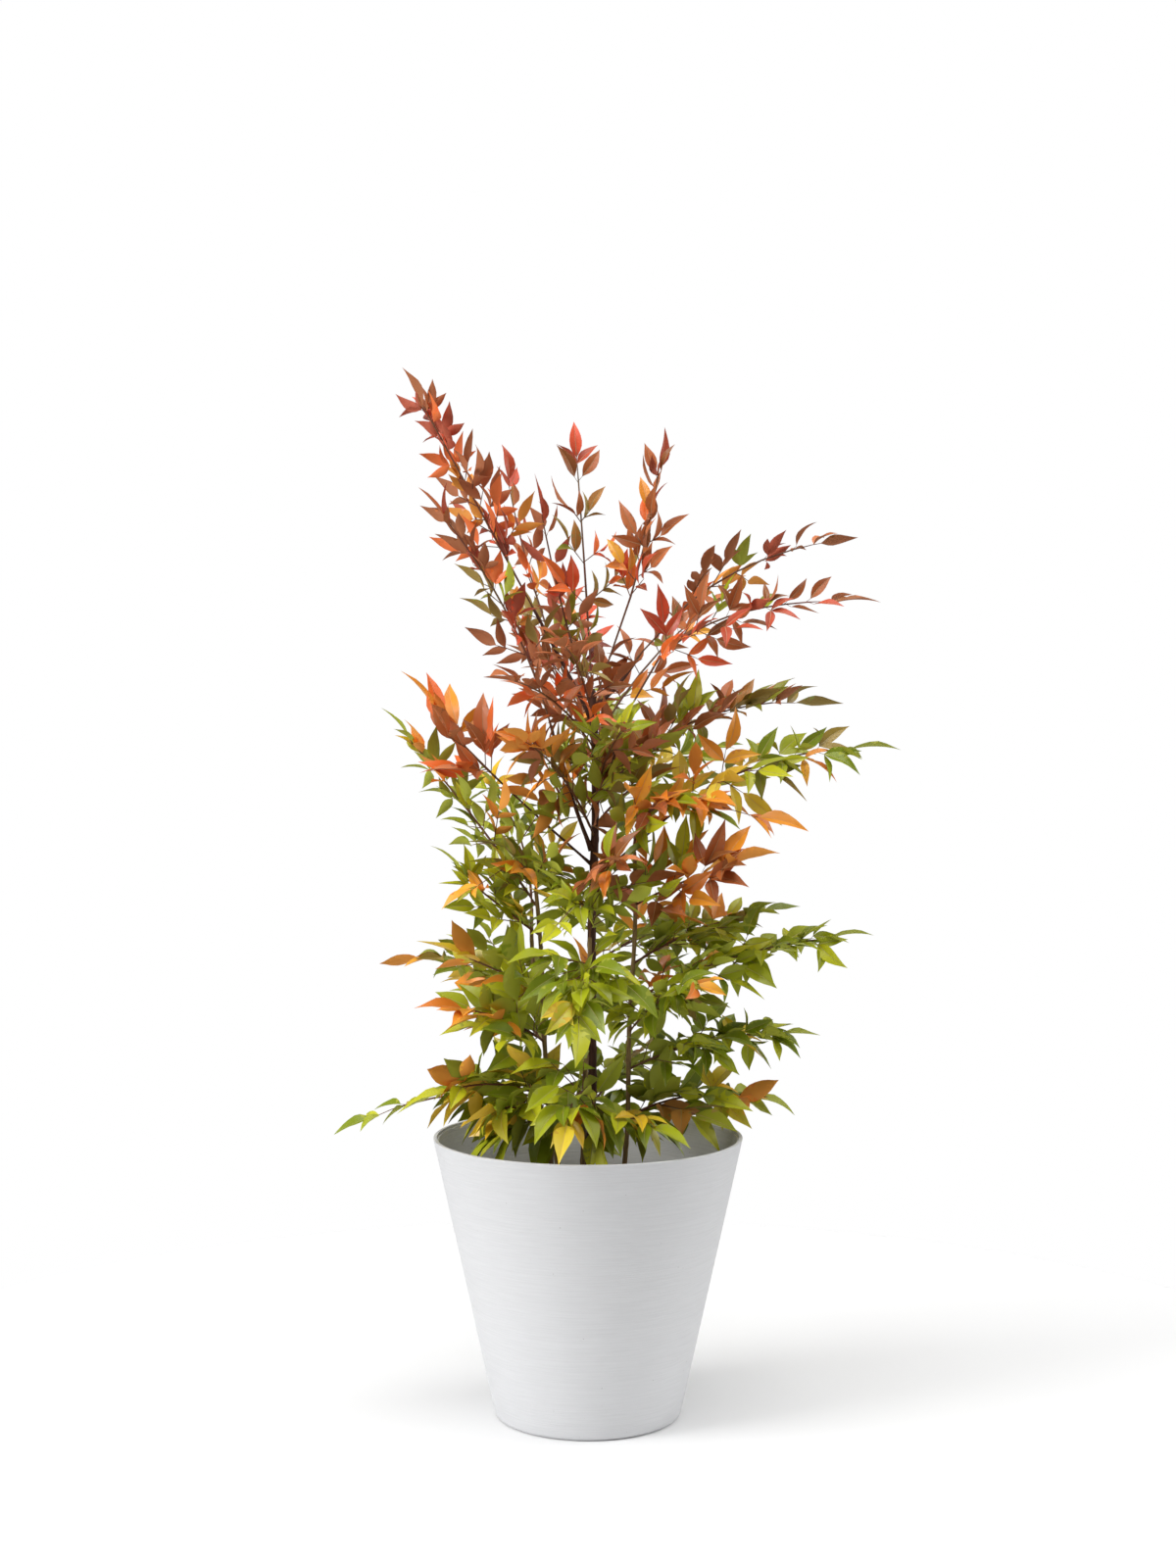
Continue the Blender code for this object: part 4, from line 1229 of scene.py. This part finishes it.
def leaf_corners(leaves, fold):
    """Corners of every leaf, as an array by leaf, station, column and axis."""
    root, along, rise = (
        np.array([tuple(getattr(leaf, key)) for leaf in leaves]) for key in ("root", "along", "rise")
    )
    length, width, arch, twist, sickle, phase = (
        np.array([getattr(leaf, key) for leaf in leaves])[:, None]
        for key in ("length", "width", "arch", "twist", "sickle", "phase")
    )
    side = np.cross(rise, along)
    reach, spread = np.array(LEAF_OUTLINE).T

    def travelled(steps):
        """How far the midrib has come at each station, from nothing at the root."""
        return np.concatenate([np.zeros((len(leaves), 1)), np.cumsum(steps, 1)], 1)

    turn = arch * (0.5 - (reach[1:] + reach[:-1]) / 2.0)
    forward = travelled(np.cos(turn) * np.diff(reach))
    upward = travelled(np.sin(turn) * np.diff(reach))
    upward -= upward[:, -1:] * forward / forward[:, -1:]
    forward /= forward[:, -1:]
    sideways = sickle * np.sin(np.pi * reach)
    rib = root[:, None] + along[:, None] * (forward * length)[..., None]
    rib = rib + rise[:, None] * (upward * length)[..., None]
    rib = rib + side[:, None] * (sideways * length)[..., None]
    level_at = 0.3  # a twisted leaf lies level here
    angle = twist * (reach - level_at)
    flat = side[:, None] * np.cos(angle)[..., None] + rise[:, None] * np.sin(angle)[..., None]
    lift = rise[:, None] * np.cos(angle)[..., None] - side[:, None] * np.sin(angle)[..., None]
    half = width * 0.5 * spread
    waves, wave_height = 1.4, 0.10
    ripple = wave_height * np.sin(math.tau * (waves * reach + phase))
    bowed = 0.12  # how far the sides curl down again
    vein_proud, keel = 0.00010, 0.00028
    rows = []
    for part, place in LEAF_COLUMNS:
        if part == MIDRIB:
            narrowing = VEIN_WIDTH * (1.05 - reach)
            across = place * np.minimum(half * 0.9, narrowing)
            height = np.abs(across) * fold + vein_proud
        else:
            across = half * place
            height = half * (fold * abs(place) - bowed * place * place + ripple * place * abs(place))
        if part == UNDERSIDE and not place:
            height = -keel * np.sin(np.pi * np.clip(reach, 0.02, 0.98))[None]
        rows.append(rib + flat * across[..., None] + lift * height[..., None])
    return np.stack(rows, 2)


def leaf_mesh(name, leaves, fold):
    """All leaves of one tint. Every corner is kept inside the plant's own box."""
    corners = leaf_corners(leaves, fold)
    count, stations, columns, _ = corners.shape
    points = np.clip(corners.reshape(-1, 3), *(np.array(corner) for corner in CAD_BOX))
    faces, parts = [], []
    for left, right in LEAF_STRIPS:
        for here in range(0, (stations - 1) * columns, columns):
            there = here + columns
            face = (here + left, here + right, there + right, there + left)
            at_tip = there == (stations - 1) * columns
            faces.append(face[:3] if at_tip else face)
            parts.append(LEAF_COLUMNS[left][0])
    loops = np.concatenate(faces)[None] + (np.arange(count) * stations * columns)[:, None]
    totals = np.tile([len(face) for face in faces], count)
    starts = np.concatenate([[0], np.cumsum(totals)[:-1]])
    shades = np.array([leaf.shade for leaf in leaves])[:, None]
    looks = np.where(np.array(parts) == UPPER, shades, parts)
    mesh = bpy.data.meshes.new(name)
    mesh.vertices.add(len(points))
    mesh.vertices.foreach_set("co", points.astype(np.float32).ravel())
    mesh.loops.add(loops.size)
    mesh.loops.foreach_set("vertex_index", loops.astype(np.int32).ravel())
    mesh.polygons.add(len(totals))
    mesh.polygons.foreach_set("loop_start", starts.astype(np.int32))
    mesh.polygons.foreach_set("loop_total", totals.astype(np.int32))
    mesh.update(calc_edges=True)
    mesh.polygons.foreach_set("material_index", looks.ravel().astype(np.int32))
    mesh.shade_smooth()
    mesh.validate(clean_customdata=False)
    return mesh


# Operators


class PLANT_OT_planter(bpy.types.Operator):
    """Turn the planter, with its lip, the ledge inside it and its rounded foot"""

    bl_idname = "plant.planter"
    bl_label = "Planter"

    SIDES = 160
    FLOOR = 0.009
    FOOT_ROUND = 0.007
    FOOT_STEPS = 10
    LIP_WIDTH = 0.0040
    LIP_DEPTH = 0.0025
    RIM_ROUND = 0.0009
    RIM_CORNERS = ((0.25, 1.0), (0.55, 0.25), (1.1, 0.0))  # how far in and down, of its rounding
    WORN_EDGE = 0.0003
    LIP_DRAFT = 0.0001

    def execute(self, context):
        settings = context.scene.planter_settings
        if settings.wall >= settings.foot_radius:
            raise RuntimeError("the wall is thicker than the foot is wide")
        mesh = turned("planter_body", self.profile(settings), self.SIDES)
        settle(add_object("planter_body", mesh, planter_material(settings)), "planter", "pot")
        return {"FINISHED"}

    def profile(self, settings):
        """Corners of (radius, height), from the underside up the outside, and down the inside."""
        height, rim, foot, wall = settings.height, settings.rim_radius, settings.foot_radius, settings.wall
        slope = (rim - foot) / height
        lean = math.atan(slope)
        corner, rounded, worn = self.FOOT_ROUND, self.RIM_ROUND, self.WORN_EDGE
        centre = foot + slope * corner - corner / math.cos(lean)
        turns = [(math.pi / 2 - lean) * step / self.FOOT_STEPS for step in range(self.FOOT_STEPS + 1)]
        lip, ledge, draft = rim - self.LIP_WIDTH, height - self.LIP_DEPTH, self.LIP_DRAFT
        return [
            (0.0, 0.0),
            *((centre + corner * math.sin(turn), corner - corner * math.cos(turn)) for turn in turns),
            *((rim - rounded * across, height - rounded * down) for across, down in self.RIM_CORNERS),
            (lip + worn, height),
            (lip, height - worn),
            (lip - draft, ledge),
            (rim - wall + 2.0 * draft, ledge),
            (rim - wall, ledge - worn),
            (foot + slope * self.FLOOR - wall, self.FLOOR),
            (0.0, self.FLOOR),
        ]


class PLANT_OT_soil(bpy.types.Operator):
    """Fill the planter with crumbly soil"""

    bl_idname = "plant.soil"
    bl_label = "Potting soil"

    RINGS = 44
    SIDES = 128
    BUMPS = ((45.0, 0.0030), (160.0, 0.0016))  # coarse and fine: how close together, and how high
    SETTLED = 0.0005  # below the top of the solid
    SKIRT_IN = 0.012
    SKIRT_DEPTH = 0.05
    CRUMBS = 520
    CRUMB_SIZE = (0.0011, 0.0034)
    CRUMB_SHAPE = ((0.7, 1.5), (0.7, 1.2), (0.5, 0.9))
    CRUMB_UNEVEN = 0.22
    CRUMBS_CLEAR = 0.006  # none lies nearer to the planter's wall

    def execute(self, context):
        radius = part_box("potting_soil")[1].x
        points, faces = self.surface(radius)
        self.add_crumbs(points, faces, radius - self.CRUMBS_CLEAR)
        material = soil_material(tuple(context.scene.plant_settings.soil_colour))
        mesh = mesh_from("soil_surface", points, faces)
        settle(add_object("soil_surface", mesh, material), "soil", "potting_soil")
        return {"FINISHED"}

    def surface(self, radius):
        """Rings of uneven ground, level at the wall, with a skirt that goes down inside it."""
        points = [(0.0, 0.0, SOIL_TOP)]
        for ring in range(1, self.RINGS + 1):
            for x, y in circle(radius * ring / self.RINGS, self.SIDES):
                rise = 0.0
                for layer, (close, high) in enumerate(self.BUMPS if ring < self.RINGS else ()):
                    rise += noise.noise(Vector((x, y, 3.0 * layer)) * close) * high
                points.append((x, y, SOIL_TOP + rise - self.SETTLED))
        skirt = circle(radius - self.SKIRT_IN, self.SIDES)
        points += [(x, y, SOIL_TOP - self.SKIRT_DEPTH) for x, y in skirt]
        pairs = [(side, (side + 1) % self.SIDES) for side in range(self.SIDES)]
        faces = [(0, 1 + side, 1 + beside) for side, beside in pairs]
        for here in range(1, 1 + self.RINGS * self.SIDES, self.SIDES):
            out = here + self.SIDES
            faces += [(here + side, out + side, out + beside, here + beside) for side, beside in pairs]
        return points, faces

    def add_crumbs(self, points, faces, radius):
        """Small lumps of soil and bark lie all over it."""
        draw = random.Random("crumbs")
        lump = bmesh.new()
        bmesh.ops.create_icosphere(lump, subdivisions=1, radius=1.0)
        corners = [corner.co.copy() for corner in lump.verts]
        sides = [tuple(corner.index for corner in face.verts) for face in lump.faces]
        lump.free()
        for _ in range(self.CRUMBS):
            out = math.sqrt(draw.random()) * radius
            turn = draw.uniform(0.0, math.tau)
            size = draw.uniform(*self.CRUMB_SIZE)
            shape = Vector([draw.uniform(*span) for span in self.CRUMB_SHAPE])
            spin = Matrix.Rotation(draw.uniform(0.0, math.tau), 3, UP)
            spot = Vector((out * math.cos(turn), out * math.sin(turn), SOIL_TOP + size * 0.3))
            start = len(points)
            for corner in corners:
                uneven = corner * (1.0 + draw.uniform(-self.CRUMB_UNEVEN, self.CRUMB_UNEVEN)) * size
                points.append(tuple(spot + spin @ (uneven * shape)))
            faces += [tuple(start + corner for corner in face) for face in sides]


class PLANT_OT_canes(bpy.types.Operator):
    """Raise the canes, with ridged bark and the rings that old leaves left"""

    bl_idname = "plant.canes"
    bl_label = "Canes"

    SIDES = 20
    STEP = 0.0028
    FIRST_SCAR = (0.015, 0.03)  # above the soil
    SCAR_GAP = (0.020, 0.038)
    SCAR_SWELL = (0.10, 0.24)  # of the cane's radius
    SCAR_WIDTH = 0.0028
    SCAR_TILT = 0.0018
    BARE_TOP = 0.008
    BLUNT_END = 0.7
    RIDGE_ROUND, RIDGE_ALONG, RIDGE_HIGH = 3.2, 22.0, 0.10  # how close round and along, and how high
    KNOB_ROUND, KNOB_ALONG, KNOB_HIGH = 1.2, 60.0, 0.06

    def execute(self, context):
        settings = context.scene.plant_settings
        for piece, names, look, colour in (
            ("old_canes", OLD_CANES, "cane bark", settings.bark_colour),
            ("young_canes", YOUNG_CANES, "young cane bark", settings.young_bark_colour),
        ):
            canes = Tubes()
            for name in names:
                self.add_cane(canes, name, CANES[name].top[2])
            material = bark_material(look, tuple(colour))
            settle(add_object(piece, canes.mesh(piece), material), "bark", *names)
        return {"FINISHED"}

    def add_cane(self, canes, name, top):
        draw = random.Random(f"{name} bark")
        low = SOIL_TOP - SUNK_IN_SOIL
        rings = int((top - low) / self.STEP)
        heights = [low + (top - low) * ring / rings for ring in range(rings + 1)]
        scars = []
        height = SOIL_TOP + draw.uniform(*self.FIRST_SCAR)
        while height < top - self.BARE_TOP:
            scars.append((height, draw.uniform(*self.SCAR_SWELL), draw.uniform(0.0, math.tau)))
            height += draw.uniform(*self.SCAR_GAP)
        seed = draw.uniform(0.0, 50.0)

        def relief(number, spoke):
            x, y, height = spoke.x, spoke.y, heights[number]
            ridges = Vector((x * self.RIDGE_ROUND + seed, y * self.RIDGE_ROUND, height * self.RIDGE_ALONG))
            knobs = Vector((x * self.KNOB_ROUND, y * self.KNOB_ROUND + seed, height * self.KNOB_ALONG))
            bark = self.RIDGE_HIGH * noise.noise(ridges) + self.KNOB_HIGH * noise.noise(knobs)
            scar = 0.0
            for spot, swell, lean in scars:
                tilt = self.SCAR_TILT * math.cos(math.atan2(y, x) - lean)
                gap = (height - spot - tilt) / self.SCAR_WIDTH
                scar += swell * math.exp(-gap * gap)
            return cane_radius(name, height) * (bark + scar)

        radii = [cane_radius(name, height) for height in heights]
        radii[-1] *= self.BLUNT_END
        canes.add([cane_point(name, height) for height in heights], radii, self.SIDES, relief)


class PLANT_OT_limbs(bpy.types.Operator):
    """Add the bare limbs that fork from the canes"""

    bl_idname = "plant.limbs"
    bl_label = "Limbs"

    SIDES = 12
    RINGS = 26
    FLARE, FLARE_FADES = 0.7, 18.0
    RIDGE_ROUND, RIDGE_ALONG, RIDGE_HIGH = 2.5, 0.55, 0.00028
    SUNK = 0.0015

    def execute(self, context):
        limbs = Tubes()
        for name, line in bough_lines().items():
            self.add_limb(limbs, name, line, BOUGHS[name].girth)
        material = bark_material("limb bark", tuple(context.scene.plant_settings.bark_colour))
        settle(add_object("limbs", limbs.mesh("limbs"), material), "leaf_stalks", *BOUGHS)
        return {"FINISHED"}

    def add_limb(self, limbs, name, line, girth):
        seed = random.Random(name).uniform(0.0, 50.0)
        shares = [ring / self.RINGS for ring in range(self.RINGS + 1)]
        flares = [1.0 + self.FLARE * math.exp(-share * self.FLARE_FADES) for share in shares]
        radii = [girth * between(BOUGH_RADIUS, share) * flare for share, flare in zip(shares, flares)]

        def relief(number, spoke):
            x, y = spoke.x * self.RIDGE_ROUND + seed, spoke.y * self.RIDGE_ROUND
            return self.RIDGE_HIGH * noise.noise(Vector((x, y, number * self.RIDGE_ALONG)))

        points = [bend(*line, share) for share in shares]
        points[0] = line[0] + (line[0] - points[1]).normalized() * self.SUNK
        limbs.add(points, radii, self.SIDES, relief)


class PLANT_OT_stalks(bpy.types.Operator):
    """Grow the thin stems and twigs of all fronds, swollen at their joints"""

    bl_idname = "plant.stalks"
    bl_label = "Stems and twigs"

    def execute(self, context):
        mesh = grown().stalks.mesh("stems_and_twigs")
        material = stalk_material(tuple(context.scene.plant_settings.stalk_colour))
        settle(add_object("stems_and_twigs", mesh, material), "leaf_stalks", *FRONDS)
        return {"FINISHED"}


class PLANT_OT_leaves(bpy.types.Operator):
    """Grow the leaves, those of each season's tint as one piece"""

    bl_idname = "plant.leaves"
    bl_label = "Leaves"

    def execute(self, context):
        fold = context.scene.plant_settings.leaf_fold
        for name, tint in TINTS.items():
            leaves = grown().leaves[name]
            if not leaves:
                raise RuntimeError(f"no leaf is {name}")
            piece = f"leaves_{name}"
            thing = add_object(piece, leaf_mesh(piece, leaves, fold), *leaf_materials(name, tint))
            settle(thing, piece, *(node for node, frond in FRONDS.items() if frond.tint == name))
        return {"FINISHED"}


class PLANT_OT_stage(bpy.types.Operator):
    """Set up the pale floor, the soft lights and the camera"""

    bl_idname = "plant.stage"
    bl_label = "Studio stage"

    MIDDLE = Vector((0.0, 0.0, 0.5))
    WHITE = (1.0, 1.0, 1.0, 1.0)
    FLOOR_RADIUS = 0.9
    CAMERA_BACK = 2.2
    CAMERA_HEIGHT = 0.688
    CAMERA_DIP = 0.0164
    FOCAL_PIXELS = 2174.0
    IMAGE_HEIGHT = 1600.0

    def execute(self, context):
        settings = context.scene.stage_settings
        self.add_floor(tuple(settings.floor_colour))
        self.add_room(context.scene, settings.ambient)
        self.add_softbox("left softbox", (-2.75, -1.15, 1.55), 1.6, settings.left)
        self.add_softbox("right softbox", (2.75, 0.35, 1.35), 2.0, settings.right)
        self.add_softbox("top softbox", (0.0, -0.4, 3.2), 2.6, settings.top)
        self.add_camera(context.scene)
        context.scene.view_settings.view_transform = "Standard"
        return {"FINISHED"}

    def add_floor(self, colour):
        points = [(x, y, 0.0) for x, y in circle(self.FLOOR_RADIUS, sides=96)]
        look = {"roughness": 0.8, "specular": 0.2, "scale": 3.0, "contrast": 0.5}
        material = streaked_material("pale floor", colour, times(colour, 0.985), **look)[0]
        add_object("floor", mesh_from("floor", points, [range(len(points))]), material)

    def add_room(self, scene, ambient):
        """Light from all round, with a white backdrop where the camera sees past the floor."""
        world = bpy.data.worlds.new("studio")
        world.use_nodes = True
        tree = world.node_tree
        tree.nodes.clear()
        seen = add_node(tree, "ShaderNodeLightPath").outputs["Is Camera Ray"]
        light, backdrop = (
            add_node(tree, "ShaderNodeBackground", {"Color": self.WHITE, "Strength": strength}).outputs[0]
            for strength in (ambient, 1.0)
        )
        room = add_node(tree, "ShaderNodeMixShader", {0: seen, 1: light, 2: backdrop}).outputs[0]
        add_node(tree, "ShaderNodeOutputWorld", {"Surface": room})
        scene.world = world

    def add_softbox(self, name, place, size, power):
        lamp = bpy.data.lights.new(name, "AREA")
        lamp.shape = "SQUARE"
        lamp.size = size
        lamp.energy = power
        thing = bpy.data.objects.new(name, lamp)
        thing.location = place
        thing.rotation_euler = (self.MIDDLE - Vector(place)).to_track_quat("-Z", "Y").to_euler()
        bpy.context.scene.collection.objects.link(thing)

    def add_camera(self, scene):
        camera = bpy.data.cameras.new("camera")
        camera.sensor_fit = "AUTO"
        camera.sensor_width = 36.0
        camera.lens = self.FOCAL_PIXELS / self.IMAGE_HEIGHT * camera.sensor_width
        thing = bpy.data.objects.new("camera", camera)
        thing.location = (0.0, -self.CAMERA_BACK, self.CAMERA_HEIGHT)
        thing.rotation_euler = (math.pi / 2 - self.CAMERA_DIP, 0.0, 0.0)
        scene.collection.objects.link(thing)
        scene.camera = thing


class PLANT_PT_panel(bpy.types.Panel):
    bl_label = "Heavenly Bamboo"
    bl_idname = "PLANT_PT_panel"
    bl_space_type = "VIEW_3D"
    bl_region_type = "UI"
    bl_category = "Plant"

    def draw(self, context):
        layout = self.layout
        for title, settings in (
            ("Planter", context.scene.planter_settings),
            ("Plant", context.scene.plant_settings),
            ("Stage", context.scene.stage_settings),
        ):
            box = layout.box()
            box.label(text=title)
            for key in type(settings).__annotations__:
                box.prop(settings, key)
        for operator in OPERATORS:
            layout.operator(operator.bl_idname)


SETTINGS = {
    "planter_settings": PlanterSettings,
    "plant_settings": PlantSettings,
    "stage_settings": StageSettings,
}
OPERATORS = (
    PLANT_OT_planter,
    PLANT_OT_soil,
    PLANT_OT_canes,
    PLANT_OT_limbs,
    PLANT_OT_stalks,
    PLANT_OT_leaves,
    PLANT_OT_stage,
)


def register():
    for name, settings in SETTINGS.items():
        bpy.utils.register_class(settings)
        setattr(bpy.types.Scene, name, PointerProperty(type=settings))
    for operator in OPERATORS:
        bpy.utils.register_class(operator)
    bpy.utils.register_class(PLANT_PT_panel)


def unregister():
    bpy.utils.unregister_class(PLANT_PT_panel)
    for operator in reversed(OPERATORS):
        bpy.utils.unregister_class(operator)
    for name, settings in SETTINGS.items():
        delattr(bpy.types.Scene, name)
        bpy.utils.unregister_class(settings)


def main():
    register()
    bpy.ops.plant.planter()
    bpy.ops.plant.soil()
    bpy.ops.plant.canes()
    bpy.ops.plant.limbs()
    bpy.ops.plant.stalks()
    bpy.ops.plant.leaves()
    bpy.ops.plant.stage()


if __name__ == "__main__":
    main()
